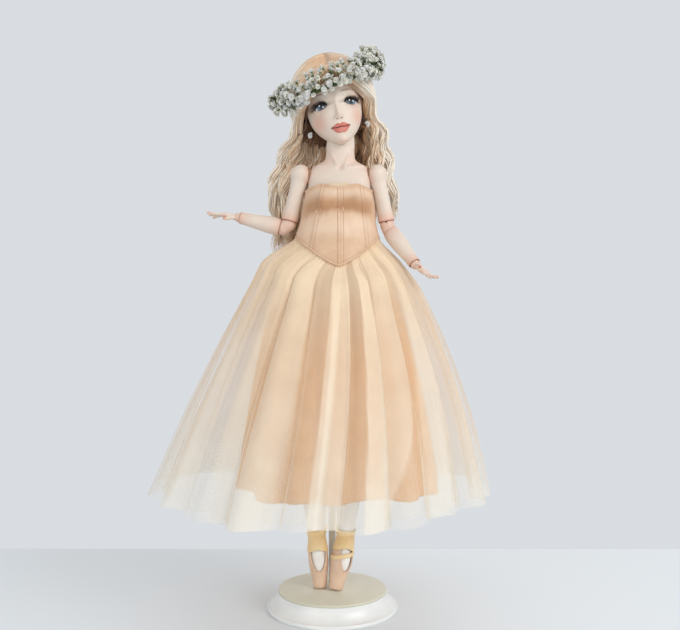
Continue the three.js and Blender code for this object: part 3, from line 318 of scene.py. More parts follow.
def apply_modifiers(piece):
    """Replaces the piece's mesh with what its modifiers make of it."""
    graph = bpy.context.evaluated_depsgraph_get()
    mesh = bpy.data.meshes.new_from_object(piece.evaluated_get(graph))
    old = piece.data
    piece.modifiers.clear()
    piece.data = mesh
    mesh.name = old.name
    bpy.data.meshes.remove(old)
    mesh.polygons.foreach_set("use_smooth", [True] * len(mesh.polygons))
    return piece


def thicken(piece, wall):
    """Gives an open surface a wall, in millimetres, inwards from where it lies."""
    piece.modifiers.new("wall", "SOLIDIFY").thickness = wall / MM
    apply_modifiers(piece)


def places_of(piece):
    """The piece's points, in millimetres."""
    found = np.zeros(len(piece.data.vertices) * 3)
    piece.data.vertices.foreach_get("co", found)
    return found.reshape(-1, 3) * MM


def set_paint(piece, paint):
    add_layer(piece.data, "paint", "FLOAT_COLOR", paint)


def cut_away(piece, cutters):
    """Takes the cutters out of the piece, and removes them."""
    for cutter in cutters:
        tool = piece.modifiers.new("cut", "BOOLEAN")
        tool.object = cutter
        tool.operation = "DIFFERENCE"
        tool.solver = "EXACT"
    bpy.context.view_layer.update()
    apply_modifiers(piece)
    for cutter in cutters:
        bpy.data.objects.remove(cutter)
    return piece


def ball_object(name, centre, radius, rows=24, columns=40):
    """A sphere from two angles, with its poles on Z."""
    down, turn = np.linspace(0.02, np.pi - 0.02, rows)[:, None], full_turn(columns)
    points = np.stack([
        np.sin(down) * np.cos(turn), np.sin(down) * np.sin(turn), np.cos(down) + 0 * turn,
    ], -1)
    return surface(name, np.asarray(centre) + radius * points)


def wear(piece, material, body, slot, *nodes):
    """Gives a piece its finish, its body and the nodes that it stands for; its slot in the record is not
    used.
    """
    piece.data.materials.clear()
    piece.data.materials.append(material)
    reads = [part.attribute_name for part in material.node_tree.nodes if part.type == "ATTRIBUTE"]
    if "paint" in reads and not piece.data.attributes.get("paint"):
        set_paint(piece, bare(len(piece.data.vertices)))
    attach(piece, body)
    if nodes:
        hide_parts(*nodes)
    return piece


# Paint, laid in layers as [red, green, blue, strength] on each point
def bare(count):
    return np.zeros((count, 4))


def lay(paint, colour, strength):
    """One more layer of a colour over the paint."""
    strength = np.clip(strength, 0, 1)[:, None]
    under = paint[:, 3:] * (1 - strength)
    total = under + strength
    mixed = (np.asarray(shade(colour)) * strength + paint[:, :3] * under) / np.maximum(total, 1e-6)
    return np.concatenate([mixed, total], 1)


# Shader building
def feed(tree, socket, value):
    """Links a socket to another one, or sets its value."""
    if isinstance(value, bpy.types.NodeSocket):
        tree.links.new(value, socket)
    else:
        socket.default_value = value


def node(tree, kind, inputs=None, **settings):
    made = tree.nodes.new("ShaderNode" + kind)
    for key, value in settings.items():
        setattr(made, key, value)
    for key, value in (inputs or {}).items():
        feed(tree, made.inputs[key], value)
    return made


def math_node(tree, operation, first, second=0.0, third=0.0):
    return node(tree, "Math", {0: first, 1: second, 2: third}, operation=operation).outputs[0]


def mix_colours(tree, factor, first, second):
    """The first colour where the factor is 0 and the second where it is 1."""
    made = node(tree, "Mix", {0: factor}, data_type="RGBA")
    for key, value in ((6, first), (7, second)):
        linked = isinstance(value, bpy.types.NodeSocket)
        feed(tree, made.inputs[key], value if linked else (*value[:3], 1))
    return made.outputs[2]


def spread_value(tree, value, low, high, new_low=0.0, new_high=1.0):
    """A value mapped from one range onto another, and held inside it."""
    return node(tree, "MapRange", {0: value, 1: low, 2: high, 3: new_low, 4: new_high}).outputs[0]


def new_group(name, inputs, outputs):
    tree = bpy.data.node_groups.new(name, "ShaderNodeTree")
    for label, kind, default in inputs:
        socket = tree.interface.new_socket(label, in_out="INPUT", socket_type="NodeSocket" + kind)
        if default is not None:
            socket.default_value = default
    for label in outputs:
        tree.interface.new_socket(label, in_out="OUTPUT", socket_type="NodeSocketFloat")
    entry = tree.nodes.new("NodeGroupInput")
    leave = tree.nodes.new("NodeGroupOutput")
    return tree, entry.outputs, leave.inputs


def grain_group():
    """Cloudy tone and a fine relief, from noise at two scales."""
    tree, given, out = new_group(
        "Fine grain", [("Vector", "Vector", None), ("Scale", "Float", 400.0)], ["Tone", "Height"])
    broad = math_node(tree, "MULTIPLY", given["Scale"], 0.12)
    cloud = node(tree, "TexNoise", {"Vector": given["Vector"], "Scale": broad, "Detail": 4.0})
    fine = node(tree, "TexNoise", {"Vector": given["Vector"], "Scale": given["Scale"], "Detail": 3.0})
    tree.links.new(cloud.outputs[0], out["Tone"])
    tree.links.new(fine.outputs[0], out["Height"])
    return tree


def weave_group():
    """Over-and-under threads: the product of two sines along the cloth's two directions."""
    tree, given, out = new_group(
        "Weave", [("Vector", "Vector", None), ("Threads", "Float", 2500.0)], ["Height"])
    parts = node(tree, "SeparateXYZ", {0: given["Vector"]}).outputs
    waves = []
    for part in (parts[0], parts[1]):
        phase = math_node(tree, "MULTIPLY", part, given["Threads"])
        waves.append(math_node(tree, "SINE", math_node(tree, "MULTIPLY", phase, 2 * math.pi)))
    both = math_node(tree, "MULTIPLY", waves[0], waves[1])
    tree.links.new(math_node(tree, "MULTIPLY_ADD", both, 0.5, 0.5), out["Height"])
    return tree


def net_group():
    """Threads of a diamond net: 1 on a thread, 0 in a hole."""
    tree, given, out = new_group(
        "Net", [("Vector", "Vector", None), ("Holes", "Float", 800.0)], ["Thread"])
    parts = node(tree, "SeparateXYZ", {0: given["Vector"]}).outputs
    lines = []
    for operation in ("ADD", "SUBTRACT"):
        along = math_node(tree, operation, parts[0], parts[1])
        phase = math_node(tree, "MULTIPLY", math_node(tree, "MULTIPLY", along, given["Holes"]), math.pi)
        lines.append(math_node(tree, "ABSOLUTE", math_node(tree, "SINE", phase)))
    nearest = math_node(tree, "MINIMUM", lines[0], lines[1])
    tree.links.new(spread_value(tree, nearest, 0.15, 0.5, 1.0, 0.0), out["Thread"])
    return tree


def combed_group():
    """Streaks along a hair surface's second direction, from noise stretched that way."""
    tree, given, out = new_group(
        "Combed", [("Vector", "Vector", None), ("Hairs", "Float", 900.0)], ["Tone", "Height"])
    short = math_node(tree, "MULTIPLY", given["Hairs"], 0.03)
    stretch = node(tree, "CombineXYZ", {0: given["Hairs"], 1: short, 2: short}).outputs[0]
    place = node(tree, "VectorMath", {0: given["Vector"], 1: stretch}, operation="MULTIPLY").outputs[0]
    streak = node(tree, "TexNoise", {"Vector": place, "Scale": 1.0, "Detail": 3.0})
    broad = node(tree, "TexNoise", {"Vector": place, "Scale": 0.22, "Detail": 2.0})
    half = math_node(tree, "MULTIPLY", broad.outputs[0], 0.5)
    tree.links.new(math_node(tree, "MULTIPLY_ADD", streak.outputs[0], 0.5, half), out["Tone"])
    tree.links.new(streak.outputs[0], out["Height"])
    return tree


def group_node(tree, build, inputs):
    """A node that holds a shared group, built the first time that it is asked for."""
    name = {grain_group: "Fine grain", weave_group: "Weave", net_group: "Net", combed_group: "Combed"}[build]
    shared = bpy.data.node_groups.get(name) or build()
    made = tree.nodes.new("ShaderNodeGroup")
    made.node_tree = shared
    for key, value in inputs.items():
        feed(tree, made.inputs[key], value)
    return made.outputs


def object_place(tree):
    return node(tree, "TexCoord").outputs["Object"]


def attribute(tree, name):
    """What the mesh says under that name: Fac for a number, Color and Alpha for paint."""
    return node(tree, "Attribute", attribute_name=name).outputs


def paint_over(tree, base):
    """The piece's own paint over a base colour, by the strength that the paint has there."""
    paint = attribute(tree, "paint")
    return mix_colours(tree, paint["Alpha"], base, paint["Color"])


def vary_gloss(tree, sockets, value, smooth, rough):
    """Roughness that follows a noise between two values."""
    tree.links.new(spread_value(tree, value, 0.3, 0.7, smooth, rough), sockets["Roughness"])


def two_tones(tree, cloud, first, second):
    """Two close colours, mixed by a cloudy tone."""
    return mix_colours(tree, spread_value(tree, cloud, 0.35, 0.65), shade(first), shade(second))


def new_material(name, plain):
    """A material with a Principled shader whose plain sockets are set."""
    material = bpy.data.materials.new(name)
    material.use_nodes = True
    tree = material.node_tree
    shader = tree.nodes["Principled BSDF"]
    for key, value in plain.items():
        shader.inputs[key].default_value = value
    return material, tree, shader.inputs


def raise_surface(tree, sockets, height, distance, strength=1.0):
    bump = node(tree, "Bump", {"Height": height, "Distance": distance, "Strength": strength})
    tree.links.new(bump.outputs[0], sockets["Normal"])


def cached(build):
    """Builds a material once for each set of values, and gives it again after that."""
    made = {}

    def give(*values):
        if values not in made:
            made[values] = build(*values)
        return made[values]
    return give


@cached
def skin_finish():
    """Cast resin with a matte sealer: a cloudy tone, layers of blush and paint, and a fine tooth."""
    material, tree, sockets = new_material("Painted resin", {
        "Roughness": 0.5, "Subsurface Weight": 0.08, "Subsurface Scale": 0.004,
        "Subsurface Radius": (1.0, 0.5, 0.3), "Specular IOR Level": 0.42,
    })
    grain = group_node(tree, grain_group, {"Vector": object_place(tree), "Scale": 900.0})
    base = mix_colours(tree, grain["Tone"], shade("#e4d5c7"), shade("#dccbbb"))
    tree.links.new(paint_over(tree, base), sockets["Base Color"])
    gloss = attribute(tree, "gloss")["Fac"]
    tree.links.new(spread_value(tree, gloss, 0.0, 1.0, 0.5, 0.22), sockets["Roughness"])
    raise_surface(tree, sockets, grain["Height"], 0.00006)
    return material


@cached
def eye_finish():
    """Painted iris under a clear, wet-looking glass skin."""
    material, tree, sockets = new_material("Glass eye", {
        "Roughness": 0.06, "Coat Weight": 1.0, "Coat Roughness": 0.02, "Specular IOR Level": 0.6,
    })
    grain = group_node(tree, grain_group, {"Vector": object_place(tree), "Scale": 3000.0})
    base = mix_colours(tree, grain["Tone"], shade("#e9ebee"), shade("#dfe2e8"))
    tree.links.new(paint_over(tree, base), sockets["Base Color"])
    vary_gloss(tree, sockets, grain["Height"], 0.05, 0.09)
    return material


@cached
def cloth_finish(name, colour, second, threads, roughness, sheen, relief):
    """Woven cloth: two close tones, a woven relief and painted shade in the creases."""
    material, tree, sockets = new_material(name, {
        "Roughness": roughness, "Sheen Weight": sheen, "Sheen Roughness": 0.4,
        "Specular IOR Level": 0.35,
    })
    coordinates = node(tree, "TexCoord").outputs
    grain = group_node(tree, grain_group, {"Vector": coordinates["Object"], "Scale": 700.0})
    weave = group_node(tree, weave_group, {"Vector": coordinates["UV"], "Threads": threads})
    base = two_tones(tree, grain["Tone"], colour, second)
    thread = mix_colours(tree, spread_value(tree, weave["Height"], 0.0, 1.0, 0.25, 0.0), base, shade(second))
    tree.links.new(paint_over(tree, thread), sockets["Base Color"])
    vary_gloss(tree, sockets, grain["Height"], roughness - 0.06, roughness + 0.06)
    cloud = math_node(tree, "MULTIPLY", grain["Height"], 0.4)
    raise_surface(tree, sockets, math_node(tree, "MULTIPLY_ADD", weave["Height"], 0.6, cloud), relief)
    return material


@cached
def tulle_finish(name, colour, second):
    """Sheer net: its threads carry the alpha, which is denser where the cloth is gathered."""
    material, tree, sockets = new_material(name, {
        "Roughness": 0.85, "Sheen Weight": 0.25, "Sheen Roughness": 0.5, "Specular IOR Level": 0.2,
    })
    coordinates = node(tree, "TexCoord").outputs
    net = group_node(tree, net_group, {"Vector": coordinates["UV"], "Holes": 700.0})
    grain = group_node(tree, grain_group, {"Vector": coordinates["Object"], "Scale": 260.0})
    dense = attribute(tree, "dense")["Fac"]
    tree.links.new(mix_colours(tree, dense, shade(second), shade(colour)), sockets["Base Color"])
    net_share = spread_value(tree, net["Thread"], 0.0, 1.0, 0.82, 1.25)
    cloud_share = spread_value(tree, grain["Tone"], 0.3, 0.7, 0.9, 1.1)
    cover = attribute(tree, "cover")["Fac"]
    alpha = math_node(tree, "MULTIPLY", math_node(tree, "MULTIPLY", cover, net_share), cloud_share)
    tree.links.new(math_node(tree, "MINIMUM", alpha, 1.0), sockets["Alpha"])
    raise_surface(tree, sockets, net["Thread"], 0.00008, 0.4)
    return material


# From the shaded roots to the palest strand: [place on the ramp, colour]
HAIR_TONES = [[0.0, "#5e3b27"], [0.25, "#b98a63"], [0.5, "#e6c09a"], [0.75, "#f8dfc2"], [1.0, "#fff5e6"]]


@cached
def hair_finish():
    """Dyed fibre: a tone for each strand, from shaded brown to pale gold, streaked along it."""
    material, tree, sockets = new_material("Mohair", {
        "Roughness": 0.42, "Specular IOR Level": 0.4, "Sheen Weight": 0.2,
    })
    coordinates = node(tree, "TexCoord").outputs
    combed = group_node(tree, combed_group, {"Vector": coordinates["UV"], "Hairs": 1600.0})
    grain = group_node(tree, grain_group, {"Vector": coordinates["Object"], "Scale": 500.0})
    tone = attribute(tree, "tone")["Fac"]
    streak = math_node(tree, "SUBTRACT", combed["Tone"], 0.5)
    cloud = math_node(tree, "SUBTRACT", grain["Tone"], 0.5)
    total = math_node(tree, "MULTIPLY_ADD", streak, 0.7, math_node(tree, "MULTIPLY_ADD", cloud, 0.5, tone))
    ramp = node(tree, "ValToRGB", {0: total})
    elements = ramp.color_ramp.elements
    while len(elements) < len(HAIR_TONES):
        elements.new(0.5)
    for element, (place, colour) in zip(elements, HAIR_TONES):
        element.position = place
        element.color = (*shade(colour), 1)
    tree.links.new(ramp.outputs[0], sockets["Base Color"])
    vary_gloss(tree, sockets, combed["Tone"], 0.36, 0.5)
    raise_surface(tree, sockets, combed["Height"], 0.00025)
    return material


@cached
def plain_finish(name, colour, second, roughness, grain_scale=600.0, relief=0.00004, coat=0.0, metal=0.0,
                 painted=True):
    """Moulded, painted or dyed stuff: two close tones by cloud, roughness and relief by grain."""
    material, tree, sockets = new_material(name, {
        "Roughness": roughness, "Coat Weight": coat, "Coat Roughness": 0.08, "Metallic": metal,
    })
    grain = group_node(tree, grain_group, {"Vector": object_place(tree), "Scale": grain_scale})
    base = two_tones(tree, grain["Tone"], colour, second)
    tree.links.new(paint_over(tree, base) if painted else base, sockets["Base Color"])
    vary_gloss(tree, sockets, grain["Height"], roughness * 0.85, roughness * 1.15)
    raise_surface(tree, sockets, grain["Height"], relief)
    return material


@cached
def petal_finish():
    """White petals that turn cream and green towards their middle."""
    material, tree, sockets = new_material("Small petals", {
        "Roughness": 0.6, "Sheen Weight": 0.3, "Subsurface Weight": 0.45, "Subsurface Scale": 0.002,
        "Subsurface Radius": (1.0, 1.0, 0.9),
    })
    grain = group_node(tree, grain_group, {"Vector": object_place(tree), "Scale": 1500.0})
    depth = attribute(tree, "depth")["Fac"]
    tone = attribute(tree, "tone")["Fac"]
    outer = mix_colours(tree, tone, shade("#ffffff"), shade("#f3f1e4"))
    tree.links.new(mix_colours(tree, depth, outer, shade("#dfe0c4")), sockets["Base Color"])
    vary_gloss(tree, sockets, grain["Height"], 0.5, 0.7)
    raise_surface(tree, sockets, grain["Height"], 0.0001)
    return material


class DollLooks(bpy.types.PropertyGroup):
    """Sizes and colours that a user of the doll would change"""

    camera_distance: bpy.props.FloatProperty(
        name="Camera distance", description="From the doll's axis to the camera",
        default=0.84, unit="LENGTH")
    camera_height: bpy.props.FloatProperty(
        name="Camera height", description="Of the level camera above the table",
        default=0.292, unit="LENGTH")
    camera_side: bpy.props.FloatProperty(
        name="Camera side", description="How far the camera stands to the right",
        default=0.0075, unit="LENGTH")
    lens: bpy.props.FloatProperty(
        name="Lens", description="Focal length on a 36 mm wide sensor", default=44.47)
    tulle_cover: bpy.props.FloatProperty(
        name="Tulle cover", description="Share of the view that one layer of tulle hides at the hem",
        default=0.22, min=0.05, max=0.9, subtype="FACTOR")
    tulle_gather: bpy.props.FloatProperty(
        name="Tulle gather", description="How much more one layer hides where it is gathered at the waist",
        default=0.5, min=0.0, max=0.7, subtype="FACTOR")
    strands: bpy.props.IntProperty(
        name="Hair strands", description="Strands on each side of the parting", default=1220, min=50)
    florets: bpy.props.IntProperty(
        name="Florets", description="Small flowers on the wreath", default=420, min=20)
    backdrop: bpy.props.FloatVectorProperty(
        name="Backdrop", description="Colour behind the doll", subtype="COLOR", default=shade("#d9dde1"))
    table: bpy.props.FloatVectorProperty(
        name="Table", description="Colour under the doll", subtype="COLOR", default=shade("#e6ebee"))


def looks():
    return bpy.context.scene.doll_looks


# Stage: camera, table, lamps and the light of the room
TABLE_EDGE = 0.2085
TABLE_HALF = 6.0
LAMPS = [
    ("Key softbox", (1.6, -1.4, 1.2), 1.4, 25.0),
    ("Fill softbox", (-1.5, -1.7, 0.7), 1.7, 10.5),
    ("Back softbox", (0.3, 1.5, 1.4), 1.2, 6.0),
]


def make_stage():
    scene = bpy.context.scene
    scene.view_settings.view_transform = "Standard"
    scene.cycles.transparent_max_bounces = 40
    make_camera()
    make_table()
    make_room()
    make_lamps()


def make_camera():
    """A level camera in front of the doll."""
    settings = looks()
    scene = bpy.context.scene
    lens = bpy.data.cameras.new("Camera")
    lens.lens = settings.lens
    lens.sensor_width = 36
    lens.clip_start = 0.05
    camera = bpy.data.objects.new("Camera", lens)
    scene.collection.objects.link(camera)
    camera.location = (settings.camera_side, -settings.camera_distance, settings.camera_height)
    camera.rotation_euler = (math.pi / 2, 0, 0)
    scene.camera = camera


def make_table():
    """The table top. Beyond its edge and far from the doll the camera sees an even glow instead."""
    settings = looks()
    corners = TABLE_HALF * np.array([[-1, -1, 0], [1, -1, 0], [1, 1, 0], [-1, 1, 0]]) * MM
    table = make_object("Table", corners, [np.array([[0, 1, 2, 3]])], turn=False)
    material, tree, sockets = new_material("Table top", {"Roughness": 0.6})
    place = object_place(tree)
    parts = node(tree, "SeparateXYZ", {0: place}).outputs
    beyond = spread_value(tree, parts[1], TABLE_EDGE - 0.0006, TABLE_EDGE + 0.0006)
    colour = mix_colours(tree, beyond, settings.table, settings.backdrop)
    tree.links.new(colour, sockets["Base Color"])
    away = node(tree, "VectorMath", {0: place}, operation="LENGTH").outputs["Value"]
    far = math_node(tree, "MAXIMUM", beyond, spread_value(tree, away, 0.5, 1.1))
    seen = node(tree, "LightPath").outputs["Is Camera Ray"]
    glow = node(tree, "Emission", {"Color": colour})
    mixed = node(tree, "MixShader", {0: math_node(tree, "MULTIPLY", far, seen)})
    tree.links.new(tree.nodes["Principled BSDF"].outputs[0], mixed.inputs[1])
    tree.links.new(glow.outputs[0], mixed.inputs[2])
    tree.links.new(mixed.outputs[0], tree.nodes["Material Output"].inputs["Surface"])
    table.data.materials.append(material)
    table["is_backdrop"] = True


def make_room():
    """Even light from all round, with the backdrop where the camera, a gloss or a clear thing looks."""
    settings = looks()
    world = bpy.data.worlds.new("Room")
    bpy.context.scene.world = world
    world.use_nodes = True
    tree = world.node_tree
    background = tree.nodes["Background"]
    background.inputs["Color"].default_value = (0.97, 0.98, 1.0, 1)
    background.inputs["Strength"].default_value = 0.62
    behind = node(tree, "Background", {"Color": (*settings.backdrop, 1), "Strength": 1.0})
    path = node(tree, "LightPath").outputs
    seen = math_node(tree, "MAXIMUM", path["Is Camera Ray"], path["Is Glossy Ray"])
    seen = math_node(tree, "MAXIMUM", seen, path["Is Transmission Ray"])
    choose = node(tree, "MixShader", {0: seen})
    tree.links.new(background.outputs[0], choose.inputs[1])
    tree.links.new(behind.outputs[0], choose.inputs[2])
    tree.links.new(choose.outputs[0], tree.nodes["World Output"].inputs["Surface"])


def make_lamps():
    """Round softboxes that face the doll."""
    scene = bpy.context.scene
    aim = np.array([0, 0, 0.22])
    for name, place, size, power in LAMPS:
        light = bpy.data.lights.new(name, "AREA")
        light.shape = "DISK"
        light.size = size
        light.energy = power
        lamp = bpy.data.objects.new(name, light)
        scene.collection.objects.link(lamp)
        away = unit(np.array(place) - aim)
        lamp.location = place
        lamp.rotation_euler = (math.acos(away[2]), 0, math.atan2(away[1], away[0]) + math.pi / 2)


# Stand
STAND = {
    "base_radius": 64.6, "flange": 4.0, "edge": 1.4, "cove_run": 10.0, "disc_radius": 53.5,
    "disc_thickness": 2.2, "height": 19.5, "rim": 0.5, "rod_radius": 3.6, "rod_pin": 1.6,
    "rod": np.array([-0.5, 16.0]),
}


def lathe(name, profile, columns=144, centre=(0, 0)):
    """A profile of radius and height carried round an upright axis."""
    profile = np.asarray(profile, float)
    turn = full_turn(columns)
    radius, height = profile[:, :1], profile[:, 1:]
    points = np.stack([
        centre[0] + radius * np.cos(turn), centre[1] + radius * np.sin(turn), height + 0 * turn,
    ], -1)
    return surface(name, points)


def arc(centre, radius, start, end, count):
    """Points of an arc in the plane of radius and height, with angles in degrees."""
    angle = np.radians(np.linspace(start, end, count))
    return np.stack([centre[0] + radius * np.cos(angle), centre[1] + radius * np.sin(angle)], -1)


def make_stand():
    s = STAND
    edge, base = s["edge"], s["base_radius"]
    top = s["height"] - s["disc_thickness"]
    sweep = np.linspace(0, np.pi / 2, 24)
    rise = top - 0.6 - s["flange"]
    cove = np.stack([
        base - edge - (s["cove_run"] - edge) * np.sin(sweep) ** 1.15,
        s["flange"] + rise * (1 - np.cos(sweep)) ** 0.86,
    ], -1)
    low = arc((base - edge, edge), edge, -90, 0, 8)
    high = arc((base - edge, s["flange"] - edge), edge, 0, 88, 8)
    lip = arc((s["disc_radius"] + s["rim"], top - 0.55), 0.6, 0, 90, 6)
    profile = np.concatenate([[[0.3, 0], [base * 0.6, 0]], low, high, cove, lip, [[0.3, top]]])
    gloss = plain_finish("White gloss", "#f0f1ee", "#e8eae8", 0.34, 300.0, 0.00002, 0.15)
    wear(lathe("stand_base_turned", profile), gloss, "stand", "stand_gloss", "stand_base")

    radius = s["disc_radius"]
    rim = arc((radius - 0.5, s["height"] - 0.5), 0.5, 0, 90, 5)
    under = [[0.3, top + 0.1], [radius - 0.4, top + 0.1], [radius, top + 0.5]]
    disc = np.concatenate([under, rim, [[0.3, s["height"]]]])
    piece = lathe("stand_disc_turned", disc, 160)
    far = np.linalg.norm(places_of(piece)[:, :2], axis=1)
    # Painted shade: a darker ring along the disc's outer edge
    set_paint(piece, lay(bare(len(far)), "#c3bda2", ease(radius - 0.9, radius - 0.2, far) * 0.6))
    felt = plain_finish("Cream disc", "#fafcf0", "#f3f6e4", 0.5, 420.0, 0.00003)
    wear(piece, felt, "stand", "stand_disc", "stand_top_disc")

    saddle_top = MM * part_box("stand_rod")[1][2]
    # The rod stands in the base, and its chamfered top ends in a thin pin for the saddle
    thick, pin = s["rod_radius"], s["rod_pin"]
    rod = [
        [0.2, top - 5], [thick, top - 5], [thick, saddle_top - 3], [thick - 0.6, saddle_top - 2.4],
        [pin, saddle_top - 2.3], [pin, saddle_top], [0.2, saddle_top],
    ]
    wear(lathe("stand_rod_turned", rod, 40, s["rod"]), gloss, "stand", "stand_gloss", "stand_rod")


# Torso
TORSO = {
    "bottom": 288.5, "half_width": 36.0, "half_depth": 24.0, "lean": 7.5, "bust_rise": 5.0,
    "bust_z": 404.0, "bust_spread": 9.0, "bust_height": 10.0, "bust_half": 18.0, "neck_ball": 13.0,
    "shoulder_ball": 10.0, "hip_ball": 12.5, "socket_gap": 0.5, "notch_z": 436.5,
}
NECK = pivot("head_nod")
SIDES = ((-1, "right"), (1, "left"))
# Rows of [height, half width, half depth, lean, set back], all as shares
TORSO_SHARES = [
    [0, 0.44, 0.54, 0.07, 0.08], [0.03, 0.78, 0.79, 0.07, 0.08], [0.09, 1, 0.96, 0.13, 0.08],
    [0.17, 1.05, 1, 0.2, 0.08], [0.28, 0.96, 0.88, 0.4, 0.04], [0.4, 0.89, 0.8, 0.66, 0],
    [0.526, 0.9, 0.84, 0.73, -0.02], [0.597, 0.9, 0.9, 0.8, -0.06], [0.673, 0.87, 0.84, 0.87, -0.05],
    [0.739, 0.87, 0.72, 0.93, 0], [0.793, 0.9, 0.58, 0.97, 0.06], [0.827, 0.74, 0.51, 1, 0.1],
    [0.861, 0.455, 0.48, 1, 0.12], [0.895, 0.4, 0.49, 1.02, 0.125], [0.95, 0.392, 0.5, 1.07, 0.125],
    [1, 0.365, 0.5, 1.13, 0.125],
]
BLUSH = "#dba48a"
# Painted shade: the dark line in the seams between parts
SEAM_SHADE = "#8f4a35"


def bust(x, z):
    """How far the bust stands forward of the chest: two bells, one each side of the middle."""
    up = bell(z, TORSO["bust_z"], TORSO["bust_height"])
    sides = [bell(x, TORSO["lean"] + side * TORSO["bust_half"], TORSO["bust_spread"]) for side in (-1, 1)]
    return TORSO["bust_rise"] * up * np.maximum(*sides)


def make_torso():
    t = TORSO
    tall = NECK[2] - t["bottom"]
    share = np.concatenate([np.linspace(0, 0.7, 50), np.linspace(0.705, 1, 70)])[:, None]
    turn = full_turn(128)
    wide = t["half_width"] * curve(TORSO_SHARES, share, 1)
    deep = t["half_depth"] * curve(TORSO_SHARES, share, 2)
    x = t["lean"] * curve(TORSO_SHARES, share, 3) + wide * np.cos(turn)
    y = t["half_depth"] * curve(TORSO_SHARES, share, 4) + deep * np.sin(turn)
    z = t["bottom"] + tall * share + 0 * turn
    front = np.clip(-np.sin(turn) * 1.4, 0, 1)
    y = y - bust(x, z) * front
    # Collar bones run out and up from the notch, and two cords of the neck come down to it
    notch = np.array([t["lean"] + 0.5, t["notch_z"]])
    off = np.abs(x - notch[0])
    bone = bell(z, notch[1] + 0.5 + 0.16 * off, 1.5) * ease(2, 6, off) * (1 - ease(22, 31, off))
    up = z - notch[1]
    cord = bell(off, 2.5 + 0.42 * up, 1.5) * ease(-1, 3, up) * (1 - ease(12, 22, up))
    dip = np.exp(-((off / 2.6) ** 2 + ((z - notch[1] - 1) / 3.2) ** 2))
    above = bell(z, notch[1] + 4.5 + 0.3 * off, 2.4) * ease(3, 9, off) * (1 - ease(18, 28, off))
    y = y - front * (1.3 * bone + 1.3 * cord - 1.6 * dip - 1.3 * above)
    cap = np.linspace(0.06, 1.45, 10)[:, None]
    ball_x = NECK[0] + wide[-1] * np.cos(cap) * np.cos(turn)
    ball_y = t["half_depth"] * TORSO_SHARES[-1][4] + deep[-1] * np.cos(cap) * np.sin(turn)
    ball_z = NECK[2] + t["neck_ball"] * np.sin(cap) + 0 * turn
    points = np.concatenate([np.stack([x, y, z], -1), np.stack([ball_x, ball_y, ball_z], -1)])
    torso = surface("torso_skin", points)
    cutters = []
    for side in ("right", "left"):
        radius = t["shoulder_ball"] + t["socket_gap"]
        cutters.append(ball_object("socket", pivot(f"shoulder_swing_{side}"), radius, 40, 64))
        hip = pivot(f"hip_swing_{side}")
        cutters.append(ball_object("hip socket", hip, t["hip_ball"] + t["socket_gap"], 30, 40))
        low = np.array([[4.0, -70, t["bottom"] - 4], [90, 70, hip[2] + 2]])
        if side == "right":
            low[:, 0] = -low[::-1, 0]
        corner = np.array([[i, j, k] for i in (0, 1) for j in (0, 1) for k in (0, 1)])
        faces = np.array([[0, 1, 3, 2], [4, 6, 7, 5], [0, 4, 5, 1], [2, 3, 7, 6], [0, 2, 6, 4], [1, 5, 7, 3]])
        cutters.append(make_object("leg room", np.where(corner, low[1], low[0]), [faces]))
    cut_away(torso, cutters)
    found = places_of(torso)
    paint = bare(len(found))
    chest = bell(found[:, 2], 447, 9) * bell(np.abs(found[:, 0] - t["lean"]), 17, 12) * (found[:, 1] < 5)
    paint = lay(paint, "#e6bba6", 0.5 * chest)
    # Painted shade along the two cords that come down to the notch at the base of the neck, and in the notch
    off, up = np.abs(found[:, 0] - t["lean"] - 0.5), found[:, 2] - t["notch_z"]
    lines = bell(off, 1.6 + 0.5 * up, 1.0) * ease(-2, 2, up) * (1 - ease(5, 13, up)) * (found[:, 1] < 0)
    paint = lay(paint, "#c99f88", 0.28 * lines)
    paint = lay(paint, "#c8927a", 0.2 * bell(off, 0, 2.0) * bell(up, 1.0, 2.0) * (found[:, 1] < 0))
    for side in ("right", "left"):
        far = np.linalg.norm(found - pivot(f"shoulder_swing_{side}"), axis=1) - t["shoulder_ball"]
        paint = lay(paint, BLUSH, 0.7 * np.exp(-np.maximum(far, 0) / 3.2))
        # Painted shade: a dark line round each shoulder socket's rim
        paint = lay(paint, SEAM_SHADE, 0.95 * (1 - ease(0.8, 1.7, far)))
    set_paint(torso, paint)
    wear(torso, skin_finish(), "torso", "resin", "torso")


# Arms and legs: solids of revolution with a ball at the top and cups where balls sit. The shares are
# [place along the limb, half width]
LIMB = {
    "upper_radius": 7.9, "shoulder_ball": 10.0, "elbow_ball": 7.2, "elbow_cup": 3.2, "fore_radius": 8.2,
    "wrist_ball": 4.9, "wrist_cup": 1.6, "gap": 0.35, "rim": 0.35,
    "thigh_radius": 15.0, "hip_ball": 12.5, "knee_ball": 10.0, "knee_cup": 3.0, "calf_radius": 13.3,
    "ankle_ball": 7.2, "ankle_cup": 1.5, "ankle_radius": 8.6,
}
UPPER_ARM_SHARES = [[0.0, 1.12], [0.06, 1.1], [0.16, 1.06], [0.35, 0.98], [0.6, 0.97], [0.85, 1], [1, 1.03]]
FOREARM_SHARES = [[0, 0.98], [0.12, 1.04], [0.3, 1.03], [0.55, 0.92], [0.8, 0.78], [1, 0.735]]
THIGH_SHARES = [
    [0, 0.6], [0.12, 0.8], [0.2, 0.97], [0.32, 1.02], [0.5, 1], [0.72, 0.88], [0.9, 0.78], [1, 0.77],
]
SHIN_SHARES = [[0, 0.83], [0.14, 0.9], [0.35, 1], [0.55, 1], [0.72, 0.9], [0.86, 0.72], [1, 0.645]]
